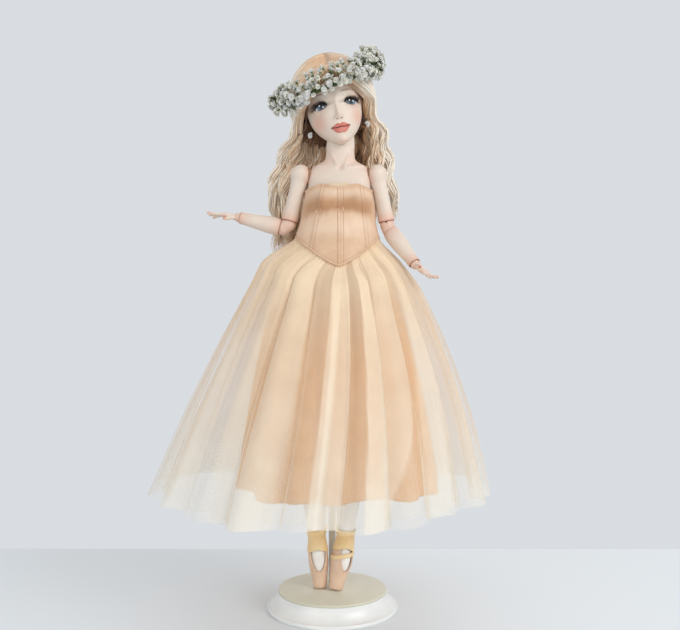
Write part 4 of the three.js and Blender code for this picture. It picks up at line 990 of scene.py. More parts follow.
# Ends of the cord slots in each elbow piece: which ball, upper 0 or lower 1, and the way out to it
ELBOW_SLOTS = {
    "right": [[0, [0.0, 1, 0.3]], [1, [-0.2, 1, -0.2]]],
    "left": [[0, [-0.21, -0.92, 0.33]], [1, [0.3, -0.95, -0.1]]],
}
# Finish of the stocking: name, two colours, threads to the metre, roughness, sheen, relief
STOCKING = ("White stocking", "#fcfaf6", "#f7f3ec", 1700.0, 0.7, 0.3, 0.00004)


def limb_frame(start, end, across):
    """Columns: across, facing and up, for a limb that runs down from start to end."""
    up = unit(np.asarray(start) - np.asarray(end))
    across = unit(across - np.dot(across, up) * up)
    return np.stack([across, np.cross(up, across), up], -1)


def revolve(name, profile, origin, turn_to, columns=64, shape=None):
    """A profile of radius and drop carried round a limb's own axis. shape may alter the points."""
    profile = np.asarray(profile, float)
    turn = full_turn(columns)
    radius, drop = profile[:, :1], profile[:, 1:]
    points = np.stack([radius * np.cos(turn), radius * np.sin(turn), -drop + 0 * turn], -1)
    if shape:
        points = shape(points)
    return surface(name, np.asarray(origin) + points @ turn_to.T)


def cup(depth, radius, count=12, inward=1):
    """The hollow that a ball of that radius leaves in a limb's end, from its rim to its pole."""
    angle = np.linspace(math.acos(min(1, depth / radius)), 0.03, count)
    return np.stack([radius * np.sin(angle), -inward * radius * np.cos(angle)], -1)


def rounded_rim(outer, inner, drop, size, down=1):
    """The worn edge between a limb's outside and its cup."""
    turn = np.linspace(0, np.pi, 7)[1:-1]
    middle, half = (outer + inner) / 2, (outer - inner) / 2
    return np.stack([middle + half * np.cos(turn), drop + down * size * np.sin(turn)], -1)


def limb_profile(length, radius, shares, top, end, count=70):
    """Profile from the top pole to the bottom pole. top is ("ball", radius) or ("cup", ball, rise),
    end is (ball, rise): a cup round a ball of that radius, whose rim stands rise above its middle."""
    gap, size = LIMB["gap"], LIMB["rim"]
    ball_end, rise_end = end
    last = length - rise_end
    if top[0] == "ball":
        over = -top[1] * np.cos(np.linspace(0.03, np.pi / 2, 22))
        drop = np.concatenate([over, np.linspace(0.4, last, count)])
        share = np.clip(drop / last, 0, 1)
        body = radius * curve(shares, share) * ease(-top[1], -top[1] * 0.3, drop)
        sphere = np.sqrt(np.maximum(top[1] ** 2 - drop ** 2, 0))
        out = np.stack([(body ** 7 + sphere ** 7) ** (1 / 7) * 0.985, drop], -1)
        start = np.zeros((0, 2))
    else:
        first = top[2]
        drop = np.linspace(first, last, count)
        out = np.stack([radius * curve(shares, (drop - first) / (last - first)), drop], -1)
        hollow = cup(top[2], top[1] + gap, inward=-1)[::-1]
        rim = rounded_rim(out[0, 0], hollow[-1, 0], first, size, -1)[::-1]
        start = np.concatenate([hollow, rim])
    hollow = cup(rise_end, ball_end + gap) + [0, length]
    rim = rounded_rim(out[-1, 0], hollow[0, 0], last, size)
    return np.concatenate([start, out, rim, hollow])


def double_ball(ball, step, count, crease_half):
    """Profile of an elbow or knee piece: two balls in a row, with a crease between them."""
    upper, lower = np.linspace(0.03, 1.6, count), np.linspace(1.5, 0.03, count)
    drop = np.sort(np.concatenate([-ball * np.cos(upper), step + ball * np.cos(lower)]))
    lobes = [np.sqrt(np.maximum(ball ** 2 - (drop - centre) ** 2, 0)) for centre in (0, step)]
    return np.stack([np.maximum(*lobes) - 0.5 * bell(drop, step / 2, crease_half), drop], -1)


def blush_ends(piece, places, spread=4.0, strength=0.75, seam=0.85):
    """Blush that fades from each joint, and painted shade as a dark line in its seam: places are (centre,
    reach).
    """
    found = places_of(piece)
    paint = bare(len(found))
    for centre, reach in places:
        far = np.linalg.norm(found - centre, axis=1) - reach
        paint = lay(paint, BLUSH, strength * np.exp(-np.abs(far) / spread))
        paint = lay(paint, SEAM_SHADE, seam * (1 - ease(0.1, 0.75, np.abs(far))))
    set_paint(piece, paint)


def make_arm(side):
    shoulder, upper = pivot(f"shoulder_raise_{side}"), pivot(f"elbow_upper_{side}")
    lower, wrist = pivot(f"elbow_lower_{side}"), pivot(f"wrist_bend_{side}")
    across = hinge(f"elbow_upper_{side}")
    skin, size = skin_finish(), LIMB
    length = np.linalg.norm(upper - shoulder)
    top, end = ("ball", size["shoulder_ball"]), (size["elbow_ball"], size["elbow_cup"])
    profile = limb_profile(length, size["upper_radius"], UPPER_ARM_SHARES, top, end)
    piece = revolve(f"upper_arm_skin_{side}", profile, shoulder, limb_frame(shoulder, upper, across))
    blush_ends(piece, [(upper, size["elbow_ball"] + 1.2)], 5.0, 0.7)
    found = places_of(piece)
    near = (found - shoulder) @ unit([TORSO["lean"] - shoulder[0], 0, 0])
    old = np.zeros(len(found) * 4)
    piece.data.attributes["paint"].data.foreach_get("color", old)
    near_top = np.linalg.norm(found - shoulder, axis=1) < size["shoulder_ball"] + 2
    paint = lay(old.reshape(-1, 4), BLUSH, 0.5 * ease(0, 8, near) * near_top)
    # Painted shade: a dark seam line on the cap's side next to the torso
    set_paint(piece, lay(paint, SEAM_SHADE, 0.9 * ease(8.7, 9.5, near) * near_top))
    wear(piece, skin, f"upper_arm_{side}", "resin", f"upper_arm_{side}")

    ball = size["elbow_ball"]
    profile = double_ball(ball, np.linalg.norm(lower - upper), 30, 0.7)
    piece = revolve(f"elbow_skin_{side}", profile, upper, limb_frame(upper, lower, across))
    found = places_of(piece)
    paint = lay(bare(len(found)), BLUSH, np.full(len(found), 0.45))
    # Painted shade: a near-black spot where each cord slot opens, in place of its hollow
    for centre, way in ELBOW_SLOTS[side]:
        slot = (upper, lower)[centre] + ball * unit(way)
        paint = lay(paint, "#2a1410", 0.95 * (1 - ease(0.9, 1.6, np.linalg.norm(found - slot, axis=1))))
    set_paint(piece, paint)
    wear(piece, skin, f"elbow_{side}", "resin", f"elbow_{side}")

    length = np.linalg.norm(wrist - lower)
    top, end = ("cup", size["elbow_ball"], size["elbow_cup"]), (size["wrist_ball"], size["wrist_cup"])
    profile = limb_profile(length, size["fore_radius"], FOREARM_SHARES, top, end)
    piece = revolve(f"forearm_skin_{side}", profile, lower, limb_frame(lower, wrist, across))
    blush_ends(piece, [(lower, size["elbow_ball"] + 1.0), (wrist, size["wrist_ball"] + 0.8)], 4.0, 0.65)
    wear(piece, skin, f"forearm_{side}", "resin", f"forearm_{side}")


# Hands: a palm, four fingers and a thumb, melted together
HAND = {
    "length": 33.0, "palm": 15.5, "palm_half": 6.4, "palm_thick": 2.8, "finger": 1.5, "thumb": 12.6,
    "root_share": 0.93, "voxel": 0.42, "nail": "#c9604c",
}
# Each finger: [offset across the palm, length, spread, curl]
FINGER_SHARES = {
    "right": [
        [0.74, 0.9, 0.1, 0.1], [0.26, 1.0, 0.03, 0.05], [-0.24, 0.95, -0.05, 0.22], [-0.7, 0.78, -0.12, 0.5],
    ],
    "left": [
        [0.74, 0.92, 0.12, 0.16], [0.26, 1.0, 0.03, 0.34], [-0.24, 0.94, -0.05, 0.42],
        [-0.7, 0.78, -0.1, 0.5],
    ],
}
# The palm: [place from the wrist, half width, half thickness]
PALM_SHARES = [
    [0.0, 0.5, 1.15], [0.22, 0.6, 1.15], [0.39, 0.74, 1.1], [0.65, 0.93, 1.05], [0.97, 1, 0.9],
    [1.12, 0.9, 0.6],
]
THUMB_WAY = np.array([0.62, 0.28, -0.74])


def make_hand(side, tip_way):
    """The hand's own frame: -Z to the fingertips, +X to the thumb, +Y to the palm."""
    wrist = pivot(f"wrist_bend_{side}")
    turn_to = limb_frame(wrist, wrist + tip_way, hinge(f"wrist_bend_{side}"))
    h = HAND
    parts = []
    share = np.linspace(0, 1.12, 24)[:, None]
    turn = full_turn(32)
    palm = np.stack([
        h["palm_half"] * curve(PALM_SHARES, share, 1) * np.cos(turn),
        h["palm_thick"] * curve(PALM_SHARES, share, 2) * np.sin(turn),
        -h["palm"] * share + 0 * turn,
    ], -1)
    parts.append(surface("palm", palm))
    tips = []
    along = np.linspace(0, 1, 20)
    tip_round = np.sqrt(1 - (np.clip(along - 0.86, 0, 1) / 0.145) ** 2)
    for offset, reach, spread, curl in FINGER_SHARES[side]:
        root = np.array([h["palm_half"] * offset, 0, -h["palm"] * h["root_share"]])
        length = (h["length"] - h["palm"] * h["root_share"]) * reach
        bend = curl * along ** 1.7
        down = along - 0.32 * curl * along ** 2.4
        path = root + np.stack([length * along * spread * 1.7, length * bend * 0.62, -length * down], -1)
        knuckle = 1 + 0.1 * bell(along, 0.42, 0.07) + 0.08 * bell(along, 0.7, 0.06)
        knuckle = knuckle + 0.2 * bell(along, 0, 0.12)
        radii = h["finger"] * knuckle * (1 - 0.24 * along) * tip_round
        tips.append((path[-3], unit(path[-1] - path[-5])))
        parts.append(tubes("finger", path[None], radii[None], 20, reference=(1, 0, 0)))
    root = np.array([h["palm_half"] * 0.5, h["palm_thick"] * 0.3, -h["palm"] * 0.3])
    bend = 0.1 * (along ** 2)[:, None] * np.array([-0.6, 0.3, -0.7])
    path = root + h["thumb"] * (along[:, None] * unit(THUMB_WAY) + bend)
    swell = 1.45 - 0.35 * along + 0.12 * bell(along, 0.62, 0.1)
    radii = h["finger"] * swell * tip_round
    tips.append((path[-3], unit(path[-1] - path[-5])))
    parts.append(tubes("thumb", path[None], radii[None], 20, reference=(0.2, 1, 0)))
    parts.append(ball_object("wrist ball", (0, 0, 0), LIMB["wrist_ball"]))
    points, groups = [], []
    start = 0
    for part in parts:
        points.append(places_of(part))
        groups.extend([[corner + start for corner in face.vertices] for face in part.data.polygons])
        start += len(part.data.vertices)
        bpy.data.objects.remove(part)
    hand = link_mesh(f"hand_skin_{side}", np.concatenate(points), groups)
    melt = hand.modifiers.new("melt", "REMESH")
    melt.mode = "VOXEL"
    melt.voxel_size = h["voxel"] / MM
    soften = hand.modifiers.new("soften", "SMOOTH")
    soften.iterations = 5
    soften.factor = 0.5
    bpy.context.view_layer.update()
    apply_modifiers(hand)
    local = places_of(hand)
    nails = np.zeros(len(local))
    knuckles = np.zeros(len(local))
    for tip, way in tips:
        back = np.array([0, -1, 0]) if way is not tips[-1][1] else unit([0.5, -0.8, 0.1])
        spot = tip + 0.9 * h["finger"] * unit(back - np.dot(back, way) * way)
        off = local - spot
        ahead = off @ way
        beside = np.linalg.norm(off - np.outer(ahead, way), axis=1)
        far = np.sqrt((ahead / 1.9) ** 2 + (beside / 1.05) ** 2)
        nails = np.maximum(nails, 1 - ease(0.85, 1.1, far))
        knuckles = np.maximum(knuckles, bell(np.linalg.norm(local - tip, axis=1), 0, 3.5))
    paint = lay(bare(len(local)), BLUSH, 0.4 * knuckles + 0.35 * bell(local[:, 2], -h["palm"], 2.5))
    paint = lay(paint, BLUSH, 0.6 * (1 - ease(3, 8, np.linalg.norm(local, axis=1))))
    paint = lay(paint, h["nail"], 0.9 * nails)
    world = wrist + local @ turn_to.T
    hand.data.vertices.foreach_set("co", (world / MM).ravel())
    if np.linalg.det(turn_to) < 0:
        hand.data.flip_normals()
    hand.data.update()
    set_paint(hand, paint)
    add_layer(hand.data, "gloss", "FLOAT", nails)
    wear(hand, skin_finish(), f"hand_{side}", "resin", f"hand_{side}")


def make_leg(side):
    hip, upper = pivot(f"hip_spread_{side}"), pivot(f"knee_upper_{side}")
    lower, ankle = pivot(f"knee_lower_{side}"), pivot(f"ankle_{side}")
    skin, size = skin_finish(), LIMB
    length = np.linalg.norm(upper - hip)
    top, end = ("ball", size["hip_ball"]), (size["knee_ball"], size["knee_cup"])
    profile = limb_profile(length, size["thigh_radius"], THIGH_SHARES, top, end)
    piece = revolve(f"thigh_skin_{side}", profile, hip, limb_frame(hip, upper, np.array([1.0, 0, 0])), 56)
    blush_ends(piece, [(upper, size["knee_ball"] + 1.2)], 6.0)
    wear(piece, skin, f"thigh_{side}", "resin", f"thigh_{side}")

    across = hinge(f"knee_upper_{side}")
    ball = size["knee_ball"]
    profile = double_ball(ball, np.linalg.norm(lower - upper), 26, 1)
    piece = revolve(f"knee_skin_{side}", profile, upper, limb_frame(upper, lower, across), 56)
    blush_ends(piece, [(upper, ball * 2), (lower, ball * 2)], 20.0, 0.4, 0.0)
    wear(piece, skin, f"knee_{side}", "resin", f"knee_{side}")

    length = np.linalg.norm(ankle - lower)
    top, end = ("cup", size["knee_ball"], size["knee_cup"]), (size["ankle_ball"], size["ankle_cup"])
    profile = limb_profile(length, size["calf_radius"], SHIN_SHARES, top, end, 90)
    piece = revolve(f"shin_skin_{side}", profile, lower, limb_frame(lower, ankle, across), 56)
    blush_ends(piece, [(lower, size["knee_ball"] + 1.2)], 6.0)
    wear(piece, cloth_finish(*STOCKING), f"shin_{side}", "stocking", f"shin_{side}")


# Feet on tiptoe: rows of [share down, half width, set forward] along the line from ankle to toe
FOOT_ROWS = [
    [0.0, 0.8, 0.15], [0.1, 0.86, 0.3], [0.28, 1, 0.35], [0.5, 1.06, 0.3], [0.75, 0.86, 0.12],
    [0.93, 0.7, 0.02], [0.985, 0.64, 0], [1.0, 0.58, 0],
]
SHOE = {
    "wall": 1.2, "gap": 0.3, "deep_share": 1.08, "heel": 5.5, "vamp": 34.5, "side": 9.0, "edge": 0.55,
    "toe_z": 20.5,
}


def foot_surface(share, grow, length):
    """Points round the foot at shares down it: an oval that follows the rows, grown by a wall."""
    turn = full_turn(96)
    radius = LIMB["ankle_radius"] * curve(FOOT_ROWS, share, 1) + grow
    forward = LIMB["ankle_ball"] * 0.35 * curve(FOOT_ROWS, share, 2)
    ahead = forward + radius * SHOE["deep_share"] * np.cos(turn)
    return np.stack([radius * np.sin(turn), -ahead, -length * share + 0 * turn], -1)


def make_foot(side, foot_turn, toe):
    ankle = pivot(f"ankle_{side}")
    across = np.array([math.cos(foot_turn), math.sin(foot_turn), 0])
    turn_to = limb_frame(ankle, toe, across)
    length = np.linalg.norm(ankle - toe)
    s = SHOE

    def placed(points):
        world = ankle + points @ turn_to.T
        world[..., 2] = np.maximum(world[..., 2], s["toe_z"])
        return world

    share = np.linspace(0, (length - s["wall"] - s["gap"]) / length, 50)[:, None]
    foot = foot_surface(share, -s["wall"] * 0.75, length)
    top = np.linspace(1.45, 0.1, 10)[:, None]
    turn = full_turn(96)
    ball = LIMB["ankle_ball"]
    start = foot[0]
    dome = np.stack([
        start[:, 0] * np.cos(top), start[:, 1] * np.cos(top) + 0 * turn, ball * 0.92 * np.sin(top) + 0 * turn,
    ], -1)
    piece = surface(f"foot_stocking_{side}", placed(np.concatenate([dome, foot])))
    wear(piece, cloth_finish(*STOCKING), f"foot_{side}", "stocking", f"foot_{side}")

    # The shoe's edge dips over the instep: deep in front, high at the heel
    front = (1 + np.cos(turn)) / 2
    edge = s["heel"] + (s["side"] - s["heel"]) * ease(0.1, 0.45, front)
    edge = edge + (s["vamp"] - s["side"]) * ease(0.66, 1.02, front)
    down = np.linspace(0, 1, 54)[:, None] ** 0.9
    share = (edge + (length - edge) * down) / length
    outside = foot_surface(share, s["wall"] * 0.5 + s["gap"], length)
    pleat = 0.12 * np.sin(26 * turn) * ease(0.86, 0.97, share) * (1 - ease(0.985, 1, share))
    outside[..., :2] *= 1 + (pleat / LIMB["ankle_radius"])[..., None]
    inside = foot_surface(share[::-1], s["gap"] - s["wall"] * 0.3, length - s["wall"])
    piece = surface(f"shoe_satin_{side}", placed(np.concatenate([inside, outside])))
    height = places_of(piece)[:, 2]
    # The shoe is painted darker over its lowest 4 mm, next to the disc
    worn = 0.35 * (1 - ease(s["toe_z"], s["toe_z"] + 4, height))
    set_paint(piece, lay(bare(len(height)), "#b98d70", worn))
    satin = cloth_finish("Shoe satin", "#eccfb6", "#e3c3a8", 2400.0, 0.42, 0.35, 0.00003)
    wear(piece, satin, f"foot_{side}", "shoe_satin", f"pointe_shoe_{side}")

    rim = placed(foot_surface(edge / length, s["wall"] * 0.5 + s["gap"] + 0.1, length))
    binding = closed_cord(f"shoe_binding_{side}", rim, s["edge"], (0.1, 0.2, 1))
    wear(binding, satin, f"foot_{side}", "shoe_satin")


# Head
HEAD = {
    "half_width": 27.5, "half_depth": 31.0, "up": 39.0, "down": 39.4, "eye_ball": 7.2, "eye_x": 15.0,
    "eye_y": -18.8, "eye_z": -1.5, "lid": 0.55, "lid_turn": 0.5, "cup_gap": 1.4, "eye_hollow": 4.2,
}
# Rows of the skull: [height, half width, half depth, set back], all as shares
HEAD_SHARES = [
    [-1.0, 0.03, 0.05, -0.64], [-0.97, 0.16, 0.18, -0.6], [-0.9, 0.32, 0.38, -0.46],
    [-0.8, 0.49, 0.56, -0.33], [-0.62, 0.715, 0.74, -0.2], [-0.4, 0.885, 0.9, -0.05],
    [-0.15, 0.975, 0.97, 0], [0.15, 1, 1, 0.02],
    [0.45, 0.92, 0.93, 0.04], [0.7, 0.74, 0.76, 0.06], [0.88, 0.48, 0.52, 0.07], [0.97, 0.24, 0.27, 0.08],
    [1.0, 0.03, 0.04, 0.08],
]
# Forward of the skull along the middle of the face: [height, rise], in millimetres
NOSE_PROFILE = [
    [-24, 0], [-20, 0.1], [-18, 0.6], [-16.6, 2.2], [-15.2, 3.7], [-13.8, 4.2], [-12, 3.8], [-9, 2.9],
    [-5, 1.9], [0, 1.1], [5, 0.5], [10, 0],
]
NOSE_WIDTH = [[-24, 2.6], [-16, 2.9], [-14, 2.7], [-9, 2.0], [-4, 1.9], [2, 2.6], [10, 4.0]]


# Soft forms of the face: [rise, place across, place up, half width, half height], in millimetres, on
# both sides of the middle: nostril wings and their hollows, eye sockets, brow bones, cheeks, lip groove
FEATURES = [
    [1.4, 3.4, -15.4, 1.8, 2.0], [-1.2, 2.2, -16.9, 1.0, 0.8], [-2.3, 14.0, -0.5, 8.5, 5.5],
    [0.9, 14.0, 10.0, 10.0, 4.0], [1.0, 16.5, -13.0, 8.0, 7.0], [-0.5, 0, -19.6, 1.2, 2.0],
]
# Forms round the mouth, laid after the lips: its own swell, the dip below it, chin and mouth corners
MOUTH_FEATURES = [
    [0.9, 0, -25, 10.0, 6.5], [-0.9, 0, -32.2, 6.0, 1.8], [1.2, 0, -36.0, 6.5, 3.2],
    [-0.5, 10.4, -25.2, 1.2, 1.6],
]
# Soft colour of the face: [colour, strength, place across, place up, half width, half height]
FACE_BLUSH = [
    ["#dfa48e", 0.6, 19.5, -15.5, 6.5, 8.5], ["#e3b7a2", 0.4, 0, -38, 9, 4],
    ["#dcae98", 0.3, 24, 6, 5, 10], ["#cf9d88", 0.25, 0, -14.5, 3.4, 2.6],
]
# Corners of the eye's opening, inwards and outwards from its middle
EYE_IN, EYE_OUT = 5.9, 5.6
MOUTH = {"half": 9.7, "z": -25.3, "waves": 5.5, "wave": 0.4, "corner_rise": 1.3}


def gauss(x, z, middle_x, middle_z, half_x, half_z):
    """1 at a place on the face, fading as an oval bell."""
    return np.exp(-(((x - middle_x) / half_x) ** 2 + ((z - middle_z) / half_z) ** 2))


def eye_edges(x, side):
    """Heights of the upper and lower lid at each place across the face, and how far along the eye."""
    inner, outer = HEAD["eye_x"] - EYE_IN, HEAD["eye_x"] + EYE_OUT
    along = np.clip((side * x - inner) / (outer - inner), 0, 1)
    droop = HEAD["eye_z"] - 0.2 - 1.5 * along ** 1.5
    upper = droop + 3.1 * np.sin(np.pi * along ** 0.85) ** 0.8
    lower = droop - 2.5 * np.sin(np.pi * along ** 1.2) ** 0.95
    return upper, lower, (side * x - inner) / (outer - inner)


# Height of each lip off the parting line: [share out from the middle, millimetres]
UPPER_LIP = [[0, 3.3], [0.1, 3.6], [0.24, 4.4], [0.4, 4.0], [0.6, 2.8], [0.8, 1.5], [0.93, 0.6], [1, 0]]
LOWER_LIP = [[0, 5.3], [0.25, 5.2], [0.45, 4.7], [0.62, 3.7], [0.78, 2.3], [0.91, 1.0], [1, 0]]


def lip_edges(x):
    """Heights of the lips' top edge, parting line and bottom edge, and 1 inside the mouth's width."""
    m = MOUTH
    off = np.abs(x) / m["half"]
    bow = m["wave"] * np.cos(off * m["waves"]) * np.clip(1 - off, 0, 1)
    line = m["z"] + bow + m["corner_rise"] * off ** 2
    top = line + curve(UPPER_LIP, off)
    bottom = line - curve(LOWER_LIP, off)
    return top, line, bottom, off < 1


def face_rise(x, z):
    """How far forward the features stand on the skull, in millimetres."""
    ax = np.abs(x)
    rise = curve(NOSE_PROFILE, z) * np.exp(-((x / curve(NOSE_WIDTH, z)) ** 2))
    for height, *where in FEATURES:
        rise += height * gauss(ax, z, *where)
    top, line, bottom, inside = lip_edges(x)
    upper = np.clip((top - z) / np.maximum(top - line, 0.4), 0, 1) * (z > line)
    lower = np.clip((z - bottom) / np.maximum(line - bottom, 0.4), 0, 1) * (z <= line)
    full = np.sin(np.pi * np.clip(upper + lower, 0, 1) * 0.62) * inside
    rise += 1.9 * full * np.clip(1 - ax / 9.8, 0, 1) ** 0.5
    rise -= 0.9 * bell(z, line, 0.45) * inside * np.clip(1.05 - ax / 9.6, 0, 1) ** 0.3
    for height, *where in MOUTH_FEATURES:
        rise += height * gauss(ax, z, *where)
    return rise


def opening(x, z):
    """1 inside the eye openings, 0 outside, with a narrow edge between."""
    open_share = np.zeros_like(x)
    for side in (-1, 1):
        upper, lower, along = eye_edges(x, side)
        inside = np.minimum(upper - z, z - lower)
        width = np.minimum(along, 1 - along) * (EYE_IN + EYE_OUT)
        open_share = np.maximum(open_share, ease(-0.12, 0.22, np.minimum(inside, width)))
    return open_share


def face_paint(x, z, front):
    """Blush, brows, eye shadow, liner and lips with painted highlights, and painted shade in the nostrils and
    the parting, laid from the softest to the sharpest.
    """
    ax = np.abs(x)
    paint = bare(x.size)

    def brush(under, colour, strength):
        return lay(under, colour, (strength * front).reshape(-1))
    for colour, strength, *where in FACE_BLUSH:
        paint = brush(paint, colour, strength * gauss(ax, z, *where))
    for side in (-1, 1):
        upper, lower, along = eye_edges(x, side)
        ahead = side * x - HEAD["eye_x"]
        over = z - upper
        around = np.exp(-((ahead / 9.5) ** 2))
        shadow = ease(-1, 0.6, over) * (1 - ease(1.5, 5.2 + 0.12 * ahead, over)) * around
        paint = brush(paint, "#7b5240", 0.85 * shadow * (side * x > 2))
        outer = gauss(side * x, z, 22.0, 1.2, 4.6, 3.0)
        paint = brush(paint, "#54352a", 0.85 * outer)
        under = bell(z, lower - 0.9, 1.2) * around
        paint = brush(paint, "#b97f68", 0.4 * under * (along > 0) * (along < 1.15))
        crease = bell(z, upper + 1.9, 0.45) * ease(0.0, 0.2, along) * (1 - ease(0.95, 1.15, along))
        paint = brush(paint, "#5d3b2e", 0.6 * crease)
        liner = (1 - ease(0.75, 1.35, np.abs(over - 0.4))) * ease(-0.04, 0.06, along)
        liner = liner * (1 - ease(1.0, 1.12, along))
        paint = brush(paint, "#0e0a0a", 0.97 * liner)
        outwards = side * x
        wing_line = HEAD["eye_z"] - 1.6 + 0.42 * (outwards - 20.4)
        wing = (1 - ease(0.35, 0.9, np.abs(z - wing_line))) * ease(19.0, 20.4, outwards)
        wing = wing * (1 - ease(23.0, 25.8, outwards))
        paint = brush(paint, "#120c0b", 0.9 * wing)
        low_line = bell(z, lower + 0.05, 0.4) * ease(0.02, 0.15, along) * (1 - ease(0.95, 1.05, along))
        paint = brush(paint, "#5b382e", 0.7 * low_line)
        brow_z = 9.0 + 1.5 * np.sin(np.pi * np.clip((outwards - 5) / 22, 0, 1))
        hairs = 0.75 + 0.25 * np.sin(outwards * 9 + z * 5)
        thick = 1.25 - 0.7 * ease(10, 24, outwards)
        brow = (1 - ease(thick * 0.5, thick * 1.2, np.abs(z - brow_z))) * ease(5.4, 8.5, outwards)
        brow = brow * (1 - ease(20, 24.5, outwards))
        paint = brush(paint, "#7d5944", 0.75 * brow * hairs)
    # Painted shade in the nostrils, over their shallow hollows
    nostril = gauss(ax, z, 2.35, -16.8, 0.85, 0.6)
    paint = brush(paint, "#5a2a20", 0.95 * ease(0.25, 0.8, nostril))
    top, line, bottom, _ = lip_edges(x)
    lips = ease(-0.15, 0.35, top - z) * ease(-0.15, 0.35, z - bottom) * ease(-0.02, 0.04, 1 - ax / 9.6)
    paint = brush(paint, "#cd7363", 0.96 * lips)
    # Painted highlights: a pale patch in the middle of the lower lip and a warm one at the top of the upper
    # lip
    paint = brush(paint, "#e29888", 0.8 * lips * gauss(x, z, 0.5, -28.2, 4.2, 1.7))
    paint = brush(paint, "#d98d6c", 0.6 * lips * gauss(x, z, 0.6, -22.0, 2.4, 1.0))
    rim = lips * (1 - ease(0.2, 0.9, np.minimum(top - z, z - bottom)))
    paint = brush(paint, "#b34a3d", 0.35 * rim)
    # Painted shade along the lips' parting
    dark = bell(z, line, 0.6) * ease(-0.02, 0.1, 1 - ax / 9.9)
    paint = brush(paint, "#5e1d1a", 0.95 * dark)
    return paint, (lips * front).reshape(-1)


def make_head():
    h = HEAD
    rows, columns = 250, 300
    z = np.concatenate([np.linspace(-h["down"], 12, 190), np.linspace(12.4, h["up"], rows - 190)])[:, None]
    share = np.where(z > 0, z / h["up"], z / h["down"])
    t = np.linspace(-np.pi, np.pi, columns, False)
    turn = t - 0.55 * np.sin(t)
    x = h["half_width"] * curve(HEAD_SHARES, share, 1) * np.sin(turn)
    back = h["half_depth"] * curve(HEAD_SHARES, share, 3)
    y = back - h["half_depth"] * curve(HEAD_SHARES, share, 2) * np.cos(turn)
    z = z + 0 * turn
    front = ease(0.02, 0.35, np.cos(turn)) + 0 * z
    y = y - face_rise(x, z) * front
    reach = h["eye_ball"] + h["lid"]
    for side in (-1, 1):
        off = (x - side * h["eye_x"]) ** 2 + (z - h["eye_z"]) ** 2
        beyond = off >= reach ** 2
        lid = np.where(beyond, y, h["eye_y"] - np.sqrt(np.maximum(reach ** 2 - off, 0)))
        # The nearer of skin and lid, with a soft turn from one to the other
        soft = h["lid_turn"]
        nearer = -np.log(np.exp(-y / soft) + np.exp(-lid / soft)) * soft + soft * np.log(2) * beyond
        y = np.where(front > 0.5, nearer, y)
    open_share = opening(x, z) * front
    y = y + h["eye_hollow"] * open_share
    paint, gloss = face_paint(x, z, front)
    points = np.stack([x, y, z], -1)
    # Room for the neck: what lies inside the neck's space is lifted to the top of its cup
    neck = into_head(NECK)
    radius = TORSO["neck_ball"] + h["cup_gap"]
    level = neck[2] - points[..., 2]
    room = radius + 0.22 * np.maximum(level, 0)
    off = np.hypot(points[..., 0] - neck[0], points[..., 1] - neck[1])
    roof = neck[2] + np.sqrt(np.maximum(radius ** 2 - np.minimum(off, radius) ** 2, 0))
    inside = (off < room) & (points[..., 2] < roof)
    points[..., 2] = np.where(inside, roof, points[..., 2])
    piece = surface("head_skin", from_head(points), values={"gloss": gloss}, paint=paint)
    wear(piece, skin_finish(), "head", "resin", "head_shell", "head_cap")
    for side, name in SIDES:
        make_eye(name, side)
        make_lashes(name, side)
        make_earring(name, side)


def make_eye(name, side):
    """A ball in polar rows about the gaze, with pupil, iris and white painted by angle, painted shade under
    the upper lid and a painted highlight.
    """
    h = HEAD
    centre = np.array([side * h["eye_x"], h["eye_y"], h["eye_z"]])
    away = np.linspace(0.012, np.pi - 0.05, 90)[:, None]
    turn = full_turn(96)
    gaze = unit(np.array([0.03, -1, -0.03]))
    side_way = unit(np.cross(gaze, [0, 0, 1]))
    up = np.cross(side_way, gaze)
    bulge = 1 + 0.045 * bell(away, 0, 0.5)
    points = h["eye_ball"] * bulge[..., None] * (
        np.cos(away)[..., None] * gaze
        + np.sin(away)[..., None] * (np.cos(turn)[:, None] * side_way + np.sin(turn)[:, None] * up))
    angle = (away + 0 * turn).reshape(-1)
    around = (turn + 0 * away).reshape(-1)
    iris, pupil = 0.6, 0.3
    across, over = np.cos(around) * angle, np.sin(around) * angle
    rays = 0.5 + 0.25 * np.sin(around * 31) + 0.25 * np.sin(around * 53 + 1.3)
    white = bare(angle.size)
    # Painted shade over the top of the ball, under the upper lid
    white = lay(white, "#8f8a8c", 0.75 * ease(0.15, 0.6, np.sin(around) * np.sin(angle)))
    paint = lay(white, "#41596d", 1 - ease(iris - 0.03, iris + 0.02, angle))
    # Pale rays of the iris pattern, kept to the lower iris as painted light there
    lower_rays = rays * bell(angle, 0.46, 0.08) * (angle < iris) * (np.sin(around) < 0.4)
    paint = lay(paint, "#8fabc0", 0.65 * lower_rays)
    paint = lay(paint, "#1f2e3c", 0.9 * ease(iris - 0.12, iris, angle) * (1 - ease(iris, iris + 0.04, angle)))
    # Painted shade over the upper iris, under the lid
    paint = lay(paint, "#18222d", 0.7 * (angle < iris) * ease(0.0, 0.3, over))
    paint = lay(paint, "#24313f", 0.6 * bell(angle, pupil, 0.08))
    paint = lay(paint, "#050506", 1 - ease(pupil - 0.02, pupil + 0.03, angle))
    # Painted highlight: a white glint on the iris, up and to the side
    painted_glint_off = np.minimum(np.hypot((across - 0.2) / 0.1, (over - 0.2) / 0.12), 2)
    paint = lay(paint, "#ffffff", 0.95 * (1 - ease(0.7, 1.1, painted_glint_off)))
    piece = surface(f"eye_glass_{name}", from_head(centre + points), paint=paint)
    wear(piece, eye_finish(), "head", "eye", f"eye_{name}")


